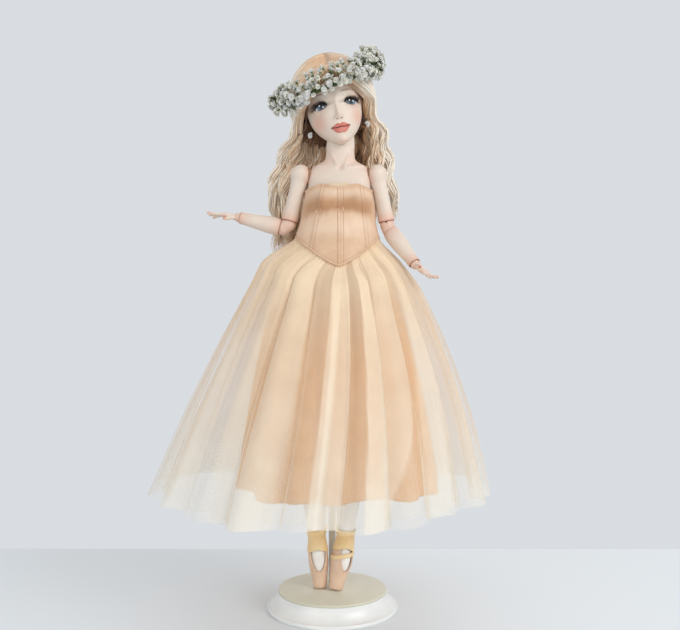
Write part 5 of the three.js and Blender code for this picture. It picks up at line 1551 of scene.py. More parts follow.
def face_depth(x, z):
    """How far back the finished face lies at a place on it."""
    h = HEAD
    share = np.where(z > 0, z / h["up"], z / h["down"])
    across = np.clip(np.abs(x) / (h["half_width"] * curve(HEAD_SHARES, share, 1)), 0, 0.98)
    deep = h["half_depth"] * curve(HEAD_SHARES, share, 2) * np.sqrt(1 - across ** 2)
    plain = h["half_depth"] * curve(HEAD_SHARES, share, 3) - deep - face_rise(x, z)
    side = np.where(x > 0, 1, -1)
    off = (x - side * h["eye_x"]) ** 2 + (z - h["eye_z"]) ** 2
    reach = h["eye_ball"] + h["lid"]
    lid = h["eye_y"] - np.sqrt(np.maximum(reach ** 2 - off, 0))
    return np.where(off < reach ** 2, np.minimum(plain, lid), plain)


def make_lashes(name, side):
    """Upper lashes in three close rows, longer and more swept towards the outer corner."""
    rng = np.random.default_rng(11 + side)
    h = HEAD
    count = 160
    along = np.sort(rng.uniform(-0.02, 1.06, count))
    x = side * (h["eye_x"] - EYE_IN + (EYE_IN + EYE_OUT) * along)
    upper, _, _ = eye_edges(x, side)
    z = upper + 0.15 + rng.uniform(-0.1, 0.5, count)
    y = face_depth(x, z) - 0.05
    length = (2.3 + 2.9 * ease(0.2, 1.0, along)) * rng.uniform(0.75, 1.1, count)
    out = side * (-0.25 + 1.25 * along) + rng.normal(0, 0.12, count)
    t = np.linspace(0, 1, 7)
    lift = 0.35 + 0.75 * t ** 1.3
    path = np.stack([
        x[:, None] + length[:, None] * t * out[:, None] * 0.62,
        y[:, None] - length[:, None] * t * (0.75 - 0.35 * t),
        z[:, None] + length[:, None] * t * lift * (0.85 - 0.25 * along[:, None]),
    ], -1)
    radii = 0.17 * (1 - 0.8 * t) * np.ones((count, 1))
    piece = tubes(f"lash_hairs_{name}", from_head(path), radii, 3)
    black = plain_finish("Black lash", "#120d0c", "#1d1512", 0.6, 900.0)
    wear(piece, black, "head", "lash", f"eyelash_{name}")


# Rings of a floret: petals, how far they open in radians, length and lift as shares of the flower
PETAL_RINGS = [[5, 1.15, 0.5, 0.0], [5, 0.75, 0.43, 0.06], [4, 0.35, 0.33, 0.12]]
# Place across, on a petal's grid of three by three points, and the grid's four faces
PETAL_ACROSS = np.array([[-1.0, 0.0, 1.0]] * 3)
PETAL_FACES = np.array([
    [i * 3 + j, i * 3 + j + 1, (i + 1) * 3 + j + 1, (i + 1) * 3 + j] for i in (0, 1) for j in (0, 1)])


def floret_shape():
    """A ruffled flower: three rings of cupped petals that close towards the top. Each petal is a small
    grid, wide in its middle and notched at its tip."""
    parts, tone = [], []
    for ring, (petals, open_angle, size, lift) in enumerate(PETAL_RINGS):
        for k in range(petals):
            turn = 2 * np.pi * (k + 0.4 * ring) / petals
            wide = size * np.array([0.12, 0.62, 0.5])[:, None] * PETAL_ACROSS
            out = size * np.array([0.05, 0.62, 1.0])[:, None] * math.sin(open_angle)
            out = out - 0.1 * size * np.abs(PETAL_ACROSS)
            up = lift + size * np.array([0, 0.55, 0.85])[:, None] * math.cos(open_angle)
            up = up + 0.12 * size * np.abs(PETAL_ACROSS)
            up = up + 0.08 * size * np.array([0, 0, 1])[:, None] * np.array([1, -1, 1])
            x = out * math.cos(turn) - wide * math.sin(turn)
            y = out * math.sin(turn) + wide * math.cos(turn)
            parts.append((np.stack([x, y, up], -1).reshape(-1, 3), [PETAL_FACES]))
            tone.append(np.repeat([0.75 - 0.2 * ring, 0.12, 0.0], 3))
    points, groups = joined_parts(parts)
    return points, groups, np.concatenate(tone)


def make_earring(name, side):
    """A bunch of five small flowers that hangs below the ear."""
    seat = np.array([side * 28.4, -3.6, -22.0])
    shape, faces, depth = floret_shape()
    rng = np.random.default_rng(5)
    ways = unit([
        [side, -0.6, 0.1], [side * 0.2, -1, 0.5], [side * 0.5, -0.9, -0.5],
        [side, 0.1, 0.6], [side, 0.3, -0.6],
    ])
    turns = turns_towards(ways @ HEAD_TURN.T, rng)
    piece = copies(f"earring_flower_{name}", shape, faces, from_head(seat + 1.5 * ways), turns,
                   np.full(len(ways), 4.2), {"depth": depth * 0.5}, np.linspace(0, 0.6, len(ways)))
    wear(piece, petal_finish(), "head", "earring", f"earring_{name}")


# Wig
WIG = {
    "half_width": 43.5, "half_depth": 42.0, "half_height": 47.0, "back": 4.0, "rise": 9.0,
    "outer_y": 34.0, "bottom": {-1: 362.0, 1: 394.0}, "back_y": 44.0,
    "strand": 0.5, "wave": 3.4, "wave_length": 34.0, "clumps": 20,
}
# How far out the hair reaches at each height, on the doll's right (-1) and left (1)
HAIR_EDGES = {
    -1: [
        [352, -64], [362, -66], [380, -63], [397, -64], [415, -72], [430, -68], [460, -57], [474, -52],
        [494, -46],
    ],
    1: [
        [380, 68], [396, 73], [403, 73], [411, 71], [430, 67], [456, 63], [478, 58], [498, 50], [518, 47],
    ],
}
# Points of each strand over the dome, up to the rim, and in all
DOME_STEPS, STRAND_STEPS = 18, 46


def wig_place(direction, depth):
    """A place on the wig's dome, an ellipsoid, for a unit direction; depth shrinks it."""
    w = WIG
    size = np.array([w["half_width"], w["half_depth"], w["half_height"]])
    return np.array([0, w["back"], w["rise"]]) + unit(direction) * size * np.asarray(depth)[..., None]


def hair_paths(side, share, layer, rng, steps=STRAND_STEPS):
    """Strands from the parting over the dome to the rim, then down in waves behind the shoulder.
    share runs from the front hairline, 0, to the middle of the back, 1; layer from outer 0 to inner 1."""
    w = WIG
    count = len(share)
    part = np.radians(-58 + 122 * share) + rng.normal(0, 0.02, count)
    off_part = -0.03 + 0.05 * rng.random(count)
    start = np.stack([side * off_part, np.sin(part), np.cos(part)], -1)
    face = 1 - ease(0.0, 0.3, share)
    azimuth = np.radians(84 - 14 * face + 98 * share)
    level = np.radians(-14 + 4 * face - 16 * share)
    flat = np.cos(level)
    rim = np.stack([side * np.sin(azimuth) * flat, -np.cos(azimuth) * flat, np.sin(level)], -1)
    over = np.linspace(0, 1, DOME_STEPS)
    angle = np.arccos(np.clip((unit(start) * unit(rim)).sum(-1), -1, 1))[:, None]
    direction = (np.sin((1 - over) * angle)[..., None] * unit(start)[:, None]
                 + np.sin(over * angle)[..., None] * unit(rim)[:, None]) / np.sin(angle)[..., None]
    sweep = (np.sin(np.pi * over) * 0.3 * face[:, None])[..., None] * np.array([side * 0.5, -0.45, -0.6])
    depth = 1.015 - (0.07 + 0.2 * (1 - ease(0.0, 0.16, share)))[:, None] * layer[:, None] + 0 * over
    dome = from_head(wig_place(direction + sweep, depth))

    # The fall: from the rim to its end, easing outwards and back behind the shoulder
    spread = (1 - share ** 1.5) * (1 - 0.32 * layer)
    back = w["outer_y"] + (w["back_y"] - w["outer_y"]) * share
    back = back - 8 * layer * (1 - share) + rng.normal(0, 1.5, count)
    low = w["bottom"][side] + 10 * share + rng.normal(0, 7, count) + 14 * rng.random(count) ** 3
    end = np.stack([0 * share, back, low], -1)
    fall = np.linspace(0, 1, steps - DOME_STEPS + 1)[1:]
    begin = dome[:, -1]
    drop = begin[:, None] + (end - begin)[:, None] * fall[:, None]
    middle = NECK[0] - 6
    edge = np.interp(drop[..., 2], *np.array(HAIR_EDGES[side], float).T)
    out = ease(0, 0.3, fall)
    drop[..., 0] = begin[:, :1] * (1 - out) + (middle + (edge - middle) * spread[:, None]) * out
    drop[..., 1] = begin[:, 1:2] + (end - begin)[:, 1:2] * ease(-0.1, 0.42, fall)
    tangent = unit(dome[:, -1] - dome[:, -2])
    drop += (tangent * 14)[:, None] * (fall * (1 - fall) ** 3)[:, None]
    path = np.concatenate([dome, drop], 1)

    clump = np.floor(share * w["clumps"]) + 100 * (layer > 0.5)
    seed = np.modf(np.sin(clump * 12.9898 + side * 4.1) * 43758.5453)[0]
    length = np.cumsum(np.linalg.norm(np.diff(path, axis=1, prepend=path[:, :1]), axis=-1), axis=1)
    past = np.clip(length - length[:, DOME_STEPS - 1:DOME_STEPS] + 10, 0, None)
    grow = w["wave"] * ease(0, 55, past) * (0.65 + 0.5 * np.abs(seed))[:, None]
    phase = 2 * np.pi * (past / w["wave_length"] + seed[:, None] * 0.22 + 0.05 * share[:, None])
    path[..., 0] += grow * np.sin(phase)
    path[..., 1] += 0.8 * grow * np.cos(phase * 0.97 + seed[:, None])
    # Neighbours gather towards the middle of their lock, more so towards the tips
    for number in np.unique(clump):
        chosen = clump == number
        middle = path[chosen].mean(0)
        pull = 0.4 * ease(20, 110, past[chosen])[..., None]
        path[chosen, :, :2] += (middle[:, :2] - path[chosen, :, :2]) * pull
    return path


def shade_beside_neck(points):
    """1 close beside the neck, fading outwards: the share of painted shade on the hair there."""
    return 1 - ease(17, 30, np.abs(points[..., 0] - NECK[0]))


def make_hair():
    rng = np.random.default_rng(3)
    finish = hair_finish()
    make_scalp(finish)
    count = looks().strands
    for side, name in SIDES:
        share = np.sort(rng.uniform(0, 1, count)) ** 1.1
        layer = rng.uniform(0, 1, count)
        path = hair_paths(side, share, layer, rng)
        t = np.linspace(0, 1, path.shape[1])
        swell = 0.75 + 0.4 * np.sin(np.pi * np.clip(t * 1.1, 0, 1))
        radii = WIG["strand"] * (1.25 - 0.2 * layer[:, None]) * swell
        radii = radii * (1 - 0.85 * ease(0.86, 1.0, t))
        # Painted shade: inner strands are darker than outer ones
        tone = (0.98 - 0.36 * layer + rng.normal(0, 0.07, count))[:, None]
        tone = tone + 0.06 * np.sin(t * 9 + share[:, None] * 30)
        # Shaded roots, and deep shade where the hair lies close beside the neck
        behind = np.where(layer < 0.4, 14, 30)[:, None]
        neck_shade = shade_beside_neck(path) * (1 - ease(behind, behind + 11, path[..., 1]))
        tone = tone - 0.8 * neck_shade * ease(0.36, 0.44, t) - 0.45 * (1 - ease(0.0, 0.24, t))
        for part, chosen in (("outer", layer < 0.5), ("inner", layer >= 0.5)):
            tones = {"tone": tone[chosen]}
            piece = tubes(f"hair_{part}_{name}", path[chosen], radii[chosen], 3, tones, flat=0.8)
            finish_fall(piece, finish, f"hair_{name}", "hair_back")


def finish_fall(piece, finish, *nodes):
    """Gives the hair its finish, bakes its place into its mesh and hides the nodes that it stands for."""
    piece.data.materials.append(finish)
    start, end = (NECK + [0, 0, -32]) / MM, (NECK + [0, 0, -4]) / MM
    tuple(start)
    tuple(end)
    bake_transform(piece)
    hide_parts(*nodes)


def make_scalp(finish):
    """The combed cap under the strands, as a closed shell on each side: rows from the parting to the rim,
    columns from brow to nape. Shallow grooves run down it."""
    for side, name in SIDES:
        share = np.linspace(0, 1, 200)
        over = np.linspace(0, 1.0, 60)
        rng = np.random.default_rng(1)
        path = hair_paths(side, share, np.full(share.size, 0.3), rng, 45)[:, :22]
        place = np.linspace(0, 21, over.size)
        low = np.floor(place).astype(int).clip(0, 20)
        mix = (place - low)[:, None]
        rows = path[:, low] * (1 - mix) + path[:, low + 1] * mix
        middle = from_head([0, WIG["back"], WIG["rise"] - 12])
        groove = 0.5 * np.sin(share * 330)[:, None] * ease(0, 0.2, over)
        groove = groove + 0.35 * np.sin(share * 141 + 1)[:, None]
        rows = rows + unit(rows - middle) * groove[..., None]
        inner = middle + (rows - middle) * 0.72
        shell = np.concatenate([rows, inner[:, ::-1]], 1)
        # Painted light and shade: lighter on the ridges of the grooves and darker in them, darker beside the
        # neck below the head's middle, and almost the darkest tone on the shell's inner side
        lower = 1 - ease(-10, 0, shell[..., 2] - from_head([0, 0, 0])[2])
        tone = 0.5 + 0.12 * np.sin(share * 330)[:, None] - 0.5 * shade_beside_neck(shell) * lower
        tone[:, over.size:] = 0.02
        piece = surface(f"wig_cap_{name}", shell.transpose(1, 0, 2)[:, ::-1], around=False,
                        values={"tone": tone.T[:, ::-1]})
        wear(piece, finish, "head", "hair", "wig_crown")


# Wreath
WREATH = {
    "half_width": 46.5, "half_depth": 46.0, "rise": 24.0, "tilt_front": 14.0, "tilt_side": 10.0, "stem": 1.0,
    "twist": 1.5, "floret": 6.6,
}
WREATH_TURN = (turn_matrix("Y", -math.radians(WREATH["tilt_side"]))
               @ turn_matrix("X", math.radians(WREATH["tilt_front"])))
# Flowers round the ring: [degrees from the doll's left, how many, how far out, lowest, highest]
SPRAYS = [
    [-180, 1.6, 15, -9, 12], [-168, 2.8, 17, -12, 15], [-150, 3.0, 15, -13, 17], [-132, 2.2, 9, -9, 17],
    [-115, 1.4, 5, -4, 18], [-95, 1.3, 4, -3, 19], [-75, 1.4, 5, -3, 20], [-60, 1.9, 7, -5, 21],
    [-45, 3.0, 10, -8, 22], [-25, 3.4, 11, -10, 22], [-5, 3.0, 10, -10, 20], [15, 1.8, 8, -8, 15],
    [40, 0.9, 6, -5, 10], [90, 0.9, 5, -5, 8], [140, 0.9, 6, -5, 8], [180, 1.6, 15, -9, 12],
]


def ring_place(turn, out=0.0, up=0.0):
    """A place beside the wreath's ring, an ellipse in a tilted plane of the head's frame."""
    w = WREATH
    points = np.stack([
        (w["half_width"] + out) * np.cos(turn), (w["half_depth"] + out) * np.sin(turn), up + 0 * turn,
    ], -1)
    return from_head(points @ WREATH_TURN.T + np.array([0, 0, w["rise"]]))


def make_wreath():
    w = WREATH
    rng = np.random.default_rng(21)
    turn = np.linspace(0, 2 * np.pi, 160)
    stems = []
    for k in range(4):
        phase = turn * 11 + k * np.pi / 2
        out = w["twist"] * np.cos(phase) + 0.4 * np.sin(turn * 5 + k)
        stems.append(ring_place(turn, out, w["twist"] * np.sin(phase)))
    green = plain_finish("Green stem", "#33462a", "#55653c", 0.7, 900.0, 0.0002)
    wear(tubes("wreath_stems", np.array(stems), np.full((4, turn.size), w["stem"]), 7), green,
         "wreath", "stem", "wreath_ring")

    count = looks().florets
    table = np.array(SPRAYS, float)
    fine = np.linspace(-180, 180, 721)
    weight = np.interp(fine, table[:, 0], table[:, 1])
    total = np.cumsum(weight) / weight.sum()
    angle = np.interp((np.arange(count) + rng.random(count)) / count, total, fine)
    reach, low, high = [np.interp(angle, table[:, 0], table[:, column]) for column in (2, 3, 4)]
    swing = rng.uniform(-0.5 * np.pi, 0.5 * np.pi, count)
    size = np.sqrt(rng.random(count)) * 0.65 + 0.35
    out = 2.0 + np.cos(swing) * reach * size
    up = (low + high) / 2 + np.sin(swing) * (high - low) / 2 * size
    turn = np.radians(angle) + rng.normal(0, 0.02, count)
    places = ring_place(turn, out, up)
    root_turn, root_out = turn + rng.normal(0, 0.06, count), rng.uniform(-0.5, 1.5, count)
    roots = ring_place(root_turn, root_out, rng.uniform(-1, 1, count))
    away = unit(places - roots)
    shape, faces, depth = floret_shape()
    sizes = w["floret"] * rng.uniform(0.8, 1.15, count)
    turns = turns_towards(away + rng.normal(0, 0.25, away.shape), rng)
    flowers = copies(
        "wreath_florets", shape, faces, places, turns, sizes, {"depth": depth}, rng.random(count))
    wear(flowers, petal_finish(), "wreath", "petals", "flower_spray_right", "flower_spray_left")
    t = np.linspace(0, 1, 5)
    sag = rng.normal(0, 0.5, (count, 1, 3)) * np.sin(np.pi * t)[:, None]
    stalks = roots[:, None] + (places - roots)[:, None] * t[:, None] + sag
    piece = tubes("wreath_stalks", stalks, np.full((count, 5), 0.28), 3)
    wear(piece, green, "wreath", "stem")
    base = places - away * (sizes * 0.18)[:, None]
    cone = np.stack([base - away * (sizes * 0.12)[:, None], base, base + away * (sizes * 0.2)[:, None]], 1)
    radii = np.stack([0.12 * sizes, 0.2 * sizes, 0.17 * sizes], 1)
    calyx = plain_finish("Green cup", "#5d7040", "#7c8a55", 0.65, 900.0)
    wear(tubes("wreath_cups", cone, radii, 5), calyx, "wreath", "stem")


# Corset
CORSET = {
    "half_width": 36.0, "half_depth": 28.0, "top_side": 414.5, "top_peak": 420.5, "top_centre": 416.2,
    "bottom_side": 370.0, "bottom_front": 339.0, "bottom_back": 360.0, "point_share": 1.25,
    "peak_half": 20.0, "wall": 0.9, "piping": 0.75,
}
# Rows of [height from point to peak, half width, half depth, lean], all as shares
CORSET_SHARES = [
    [0, 1.3, 1.52, 0.85], [0.14, 1.24, 1.38, 0.8], [0.26, 1.2, 1.24, 0.72], [0.39, 1.15, 1.06, 0.65],
    [0.565, 1.04, 0.93, 0.73], [0.72, 1.01, 0.93, 0.8], [0.92, 0.935, 0.86, 0.87], [1, 0.925, 0.78, 0.9],
]


def corset_place(turn, z, grow):
    """A place on the corset: an oval whose size follows the height, with the bust in front."""
    c = CORSET
    share = (z - c["bottom_front"]) / (c["top_peak"] - c["bottom_front"])
    wide = c["half_width"] * curve(CORSET_SHARES, share, 1) + grow
    deep = c["half_depth"] * curve(CORSET_SHARES, share, 2) + grow
    x = TORSO["lean"] * curve(CORSET_SHARES, share, 3) + wide * np.cos(turn)
    front = np.clip(-np.sin(turn), 0, 1)
    y = deep * np.sin(turn) - bust(x, z) * np.minimum(1, front * 1.4)
    return np.stack([x, y, z + 0 * x], -1)


def corset_edges(turn):
    """Lower and upper edge: a point in front below, and a dip between two peaks above."""
    c = CORSET
    front, back = np.clip(-np.sin(turn), 0, 1), np.clip(np.sin(turn), 0, 1)
    x = c["half_width"] * np.cos(turn)
    peak = bell(np.abs(x), c["peak_half"], c["peak_half"] * 0.55)
    level = c["top_side"] + (c["top_centre"] - c["top_side"]) * front
    top = level + (c["top_peak"] - c["top_centre"]) * peak * front
    to_point = np.where(front > 0, 1 - np.abs(np.cos(turn)) ** c["point_share"], 0)
    bottom = c["bottom_side"] - (c["bottom_side"] - c["bottom_front"]) * to_point
    return bottom - (c["bottom_side"] - c["bottom_back"]) * back, top


def make_corset():
    c = CORSET
    t = np.linspace(-np.pi, np.pi, 500, False)
    turn = -np.pi / 2 + t - 0.35 * np.sin(t)
    bottom, top = corset_edges(turn)
    share = np.linspace(0, 1, 98)[:, None]
    z = bottom + (top - bottom) * share
    points = corset_place(turn, z, 0.3)
    x, front = points[..., 0] - TORSO["lean"], np.clip(-np.sin(turn), 0, 1) + 0 * z
    rise = np.zeros_like(z)
    crease = np.zeros_like(z)
    # Boned channels: a raised strip between two sunk rows of stitching, with painted shade along the
    # stitching
    height = (z - c["bottom_front"]) / (c["top_peak"] - c["bottom_front"])
    right, left = -16.8 - 15.4 * (0.97 - height), 21.1 + 7.7 * (0.97 - height)
    for middle, half in ((0.5, 2.8), (right, 1.6), (left, 1.6)):
        off = np.abs(x - middle)
        rise += 0.42 * (1 - ease(half - 0.6, half + 0.3, off)) * front
        stitch = bell(off, half, 0.32) + (0.8 * bell(off, 0, 0.22) if half > 2 else 0)
        rise -= 0.5 * stitch * front
        crease += 0.75 * stitch * front
    # Back seams: a sunk row of stitching, with painted shade in it
    for back_seam in (-44.0, 44.0):
        stitch = bell(x, back_seam, 0.5) * (front > 0.05)
        rise -= 0.4 * stitch
        crease += 0.6 * stitch
    # The sag under the bust, with painted shade in its crease, and drag lines in the satin
    fold = bell(z, 395.5 - 0.0035 * x ** 2, 3.8) * front * (1 - ease(24, 33, np.abs(x)))
    rise -= 0.9 * fold
    rise += 0.7 * bell(z, 401.5, 4.0) * front
    crease += 0.22 * bell(z, 396.0 - 0.0035 * x ** 2, 2.0) * front * (1 - ease(24, 33, np.abs(x)))
    rng = np.random.default_rng(8)
    for _ in range(34):
        cx, cz = rng.uniform(-36, 36), rng.uniform(345, 412)
        slope, long, thin = rng.normal(0, 0.28), rng.uniform(6, 17), rng.uniform(0.9, 2.0)
        across = (z - cz) - slope * (x - cx)
        fade = bell(x, cx, long) * bell(across, 0, thin)
        rise += rng.choice([-1, 1]) * rng.uniform(0.2, 0.5) * fade * front
    rise += 0.125 * np.sin(x * 0.5 + z * 0.12)
    outward = np.stack([np.cos(turn) + 0 * z, np.sin(turn) + 0 * z, 0 * z], -1)
    points = points + outward * rise[..., None]
    # A groove along each edge, inside the piping, with painted shade in it
    edge = np.minimum(z - bottom, top - z)
    hem = bell(edge, 2.2, 0.3)
    points -= outward * (0.3 * hem)[..., None]
    crease += 0.6 * hem
    inner = corset_place(turn, z, 0.3 - c["wall"])[::-1]
    # Painted shade over the lower part of the bust, above its sag
    sag = z + 0.004 * x ** 2 + 1.1 * np.sin(0.33 * x + 0.7) + 0.5 * np.sin(0.9 * x)
    band = ease(388, 397, sag) * (1 - ease(399, 415, z + 1.5 * np.sin(0.21 * x + 2))) * ease(0.1, 0.7, front)
    paint = lay(bare(z.size), "#b07f56", 0.8 * band.reshape(-1))
    # Painted sheen highlights: high on the bust and low on the front
    light = bell(z, 411, 5) * front + bell(z, 378, 11) * front ** 0.5
    paint = lay(paint, "#f2dcc6", 0.4 * light.reshape(-1))
    # Painted shade in the creases, the stitching and the edge grooves
    paint = lay(paint, "#a9734f", 0.75 * np.clip(crease, 0, 1).reshape(-1))
    paint = np.concatenate([paint.reshape(*z.shape, 4), bare(z.size).reshape(*z.shape, 4)])
    satin = cloth_finish("Corset satin", "#dfbd9e", "#d5b08f", 1900.0, 0.44, 0.35, 0.00004)
    shell = np.concatenate([points, inner])
    piece = surface("corset_satin", np.concatenate([shell, shell[:1]]), caps=(False, False),
                    paint=np.concatenate([paint, paint[:1]]))
    weld(piece)
    wear(piece, satin, "torso", "corset_satin", "corset")

    for label, z_edge, lift in (("bottom", bottom, -0.2), ("top", top, 0.1)):
        line = corset_place(turn, z_edge, 0.35)
        line[:, 2] += lift
        order = np.argsort(turn)
        pipe = closed_cord(f"corset_piping_{label}", line[order], c["piping"], (0, 0, 1))
        wear(pipe, satin, "torso", "corset_satin")
    make_lace()
    make_lacing(satin)


def weld(piece):
    """Joins the points that lie on each other."""
    tool = piece.modifiers.new("weld", "WELD")
    tool.merge_threshold = 0.00001
    bpy.context.view_layer.update()
    apply_modifiers(piece)


LACE = {"half_turn": 0.27, "tuck": 1.5, "height": 3.4, "scallop": 0.9, "wall": 0.4}


def make_lace():
    """A scalloped strip of lace that stands up behind the corset's top edge in the middle."""
    turn = -np.pi / 2 + np.linspace(-LACE["half_turn"], LACE["half_turn"], 90)
    _, top = corset_edges(turn)
    share = np.linspace(0, 1, 14)[:, None]
    scallop = LACE["height"] + LACE["scallop"] * np.abs(np.sin(np.linspace(0, 6 * np.pi, turn.size)))
    z = top - LACE["tuck"] + (scallop + LACE["tuck"]) * share
    points = corset_place(turn, top + 0 * z, -0.1)
    points[..., 2] = z
    points[..., 1] += 0.9 * share + 0.25 * np.sin(np.linspace(0, 40, turn.size)) * share
    lace = cloth_finish("Cream lace", "#ecd9bf", "#d9bf9c", 900.0, 0.8, 0.3, 0.0002)
    piece = surface("lace_strip", points, around=False)
    thicken(piece, LACE["wall"])
    wear(piece, lace, "torso", "lace", "lace_panel")


def make_lacing(satin):
    """One cord that zigzags down the back between two rows of eyelets."""
    count = 9
    t = np.linspace(0, 1, 260)
    z = CORSET["top_side"] - 9 - 46 * t
    swing = 2 / np.pi * np.arcsin(np.sin(np.pi * t * count))
    x = TORSO["lean"] + 6.2 * swing
    turn = np.arccos(np.clip((x - TORSO["lean"]) / CORSET["half_width"], -1, 1))
    points = corset_place(turn, z, 1.3)
    points[:, 0] = x
    cord = tubes("back_lacing", points[None], np.full((1, t.size), 0.75), 8)
    wear(cord, satin, "torso", "corset_satin", "corset_lacing")
    z = np.repeat(CORSET["top_side"] - 11 - np.arange(6) * 9.0, 2)
    side = np.tile([-1, 1], 6)
    turn = np.arccos(side * 6.6 / CORSET["half_width"])
    seats = corset_place(turn, z, 0.9)
    around = np.linspace(0, 2 * np.pi, 17)
    rings = seats[:, None] + 1.25 * np.stack([np.cos(around), 0 * around, np.sin(around)], -1)
    metal = plain_finish("Eyelet brass", "#c9a877", "#b8935f", 0.3, 900.0)
    eyelets = tubes("lacing_eyelets", rings, np.full((12, 17), 0.35), 6, reference=(0, 1, 0.01))
    wear(eyelets, metal, "torso", "corset_satin")


# Skirts: the tulle's and the lining's sizes, and for each rows of [share down, half width, half depth,
# sideways shift], all as shares
TULLE = {
    "top": 377.0, "hem": 112.0, "hem_wave": 9.0, "flare": 26.0, "half_width": 164.0, "half_depth": 148.0,
    "shift": -13.0,
}
TULLE_SHARES = [
    [0, 0.26, 0.2, -0.4], [0.05, 0.34, 0.24, 0], [0.12, 0.42, 0.3, 0.1], [0.19, 0.49, 0.39, -0.1],
    [0.3, 0.58, 0.52, -0.1], [0.42, 0.67, 0.64, 0], [0.65, 0.82, 0.82, 0.3], [1, 1, 1, 1],
]
LINING = {
    "top": 376.0, "hem": 123.0, "hem_wave": 0.0, "flare": 34.0, "half_width": 101.0, "half_depth": 95.0,
    "shift": 6.0, "wall": 0.6,
}
LINING_SHARES = [
    [0, 0.36, 0.27, 0.85], [0.07, 0.45, 0.31, 0.7], [0.14, 0.53, 0.38, 0.5], [0.24, 0.62, 0.51, 0.5],
    [0.38, 0.72, 0.67, 0.6], [0.62, 0.85, 0.83, 0.8], [1, 1, 1, 1],
]
# Crests of the folds that show in front, in degrees from straight ahead; the rest are spread evenly
FRONT_CRESTS = [-76, -56, -38, -21, -4, 16, 29, 46, 62, 80]
# Where the outer tulle lies double, all round: [left edge in degrees from straight ahead at the waist, at
# the hem, width in degrees at the waist, at the hem, softness of the left edge, of the right edge, strength]
DOUBLED = [
    [-76, -62, 26, 22, 9, 9, 0.2], [-50, -40, 24, 16.5, 8, 1.2, 0.24], [-26, -23.5, 15, 8.7, 0.7, 4, 0.36],
    [-12.5, -14.8, 9, 8, 3, 4, 0.1], [-1.5, -2.9, 7, 3.3, 0.5, 2, 0.36], [-0.5, -1.9, 12, 9.4, 1.2, 0.6, 0.3],
    [8.6, 6.6, 3, 1.2, 1.5, 0.4, 0.2], [17, 14.5, 13, 4.4, 0.4, 1.4, 0.4], [28, 18.7, 18, 7, 2, 0.6, 0.28],
    [47, 33, 16, 14, 4, 5, 0.28], [64, 56, 14, 12, 6, 6, 0.2], [82, 74, 12, 10, 5, 5, 0.18],
    [100, 96, 16, 12, 2, 5, 0.26], [124, 121, 9, 6, 1, 3, 0.38], [140, 141, 14, 10, 4, 1, 0.24],
    [160, 158, 8, 5, 1, 2, 0.36], [-178, -177, 10, 7, 2, 2, 0.24], [-160, -158, 8, 5, 2, 0.7, 0.38],
    [-144, -141, 14, 12, 3, 5, 0.24], [-122, -121, 9, 7, 0.7, 3, 0.36], [-106, -100, 14, 10, 4, 5, 0.22],
]


def fold_phase(turn, crests, behind):
    """An angle that grows by a full turn from crest to crest, uneven as real gathers are."""
    ahead = np.degrees(turn + np.pi / 2)
    ahead = (ahead + 180) % 360 - 180
    gap = (360 - (crests[-1] - crests[0])) / (behind + 1)
    rest = crests[-1] + gap * np.arange(1, behind + 1) + 4 * np.sin(np.arange(behind) * 2.3)
    marks = np.concatenate([crests, rest])
    marks = np.concatenate([marks, [crests[0] + 360]])
    place = np.where(ahead < crests[0], ahead + 360, ahead)
    return 2 * np.pi * np.interp(place, marks, np.arange(len(marks)))


def skirt_points(cloth, shares, turn, share, folds, drop=0.0, under=0.0):
    """A gathered skirt: held in an oval under the corset, it flares and its folds deepen downwards.
    folds gives the outward and the sideways part of each fold's loop, all round, at a share down."""
    hem = cloth["hem"] + cloth["hem_wave"] * np.cos(turn) ** 2 + drop
    edge = corset_edges(turn)[0]
    start = edge + 9
    z = start - (start - hem) * share
    down = np.clip((cloth["top"] - z) / (cloth["top"] - cloth["hem"]), 0, 1.02)
    below = np.clip((edge - z) / cloth["flare"], 0, 1)
    free = 1 - (1 - below) ** 2
    out, aside = folds(down)
    wide = cloth["half_width"] * curve(shares, down, 1)
    deep = cloth["half_depth"] * curve(shares, down, 2)
    reach = np.hypot(wide * np.cos(turn), deep * np.sin(turn))
    angle = turn + aside / reach
    x = cloth["shift"] * curve(shares, down, 3) + (wide + out - under) * np.cos(angle)
    y = (deep + out - under) * np.sin(angle)
    loose = np.stack([x, y, z], -1)
    held = corset_place(turn, np.maximum(z, edge), -1.6 - under * 0.3)
    held[..., 2] = z
    ripple = 0.5 * np.sin(turn * 120)[None] * (1 - free)
    held += ripple[..., None] * np.stack([np.cos(turn), np.sin(turn), 0 * turn], -1)
    return held + (loose - held) * free[..., None], down


def doubled_share(turn, down):
    """How much more the outer layer hides where a fold lies double, each fold a band down the skirt."""
    ahead = (np.degrees(turn + np.pi / 2) + 180) % 360 - 180
    total = np.zeros(np.broadcast(ahead, down).shape)
    for top, low, wide_top, wide_low, soft_left, soft_right, strength in DOUBLED:
        left = top + (low - top) * down ** 0.8
        right = left + wide_top + (wide_low - wide_top) * down ** 0.6
        inside = ease(0, soft_left, ahead - left) * ease(0, soft_right, right - ahead)
        total = total + strength * inside * ease(0.02, 0.14, down)
    return total


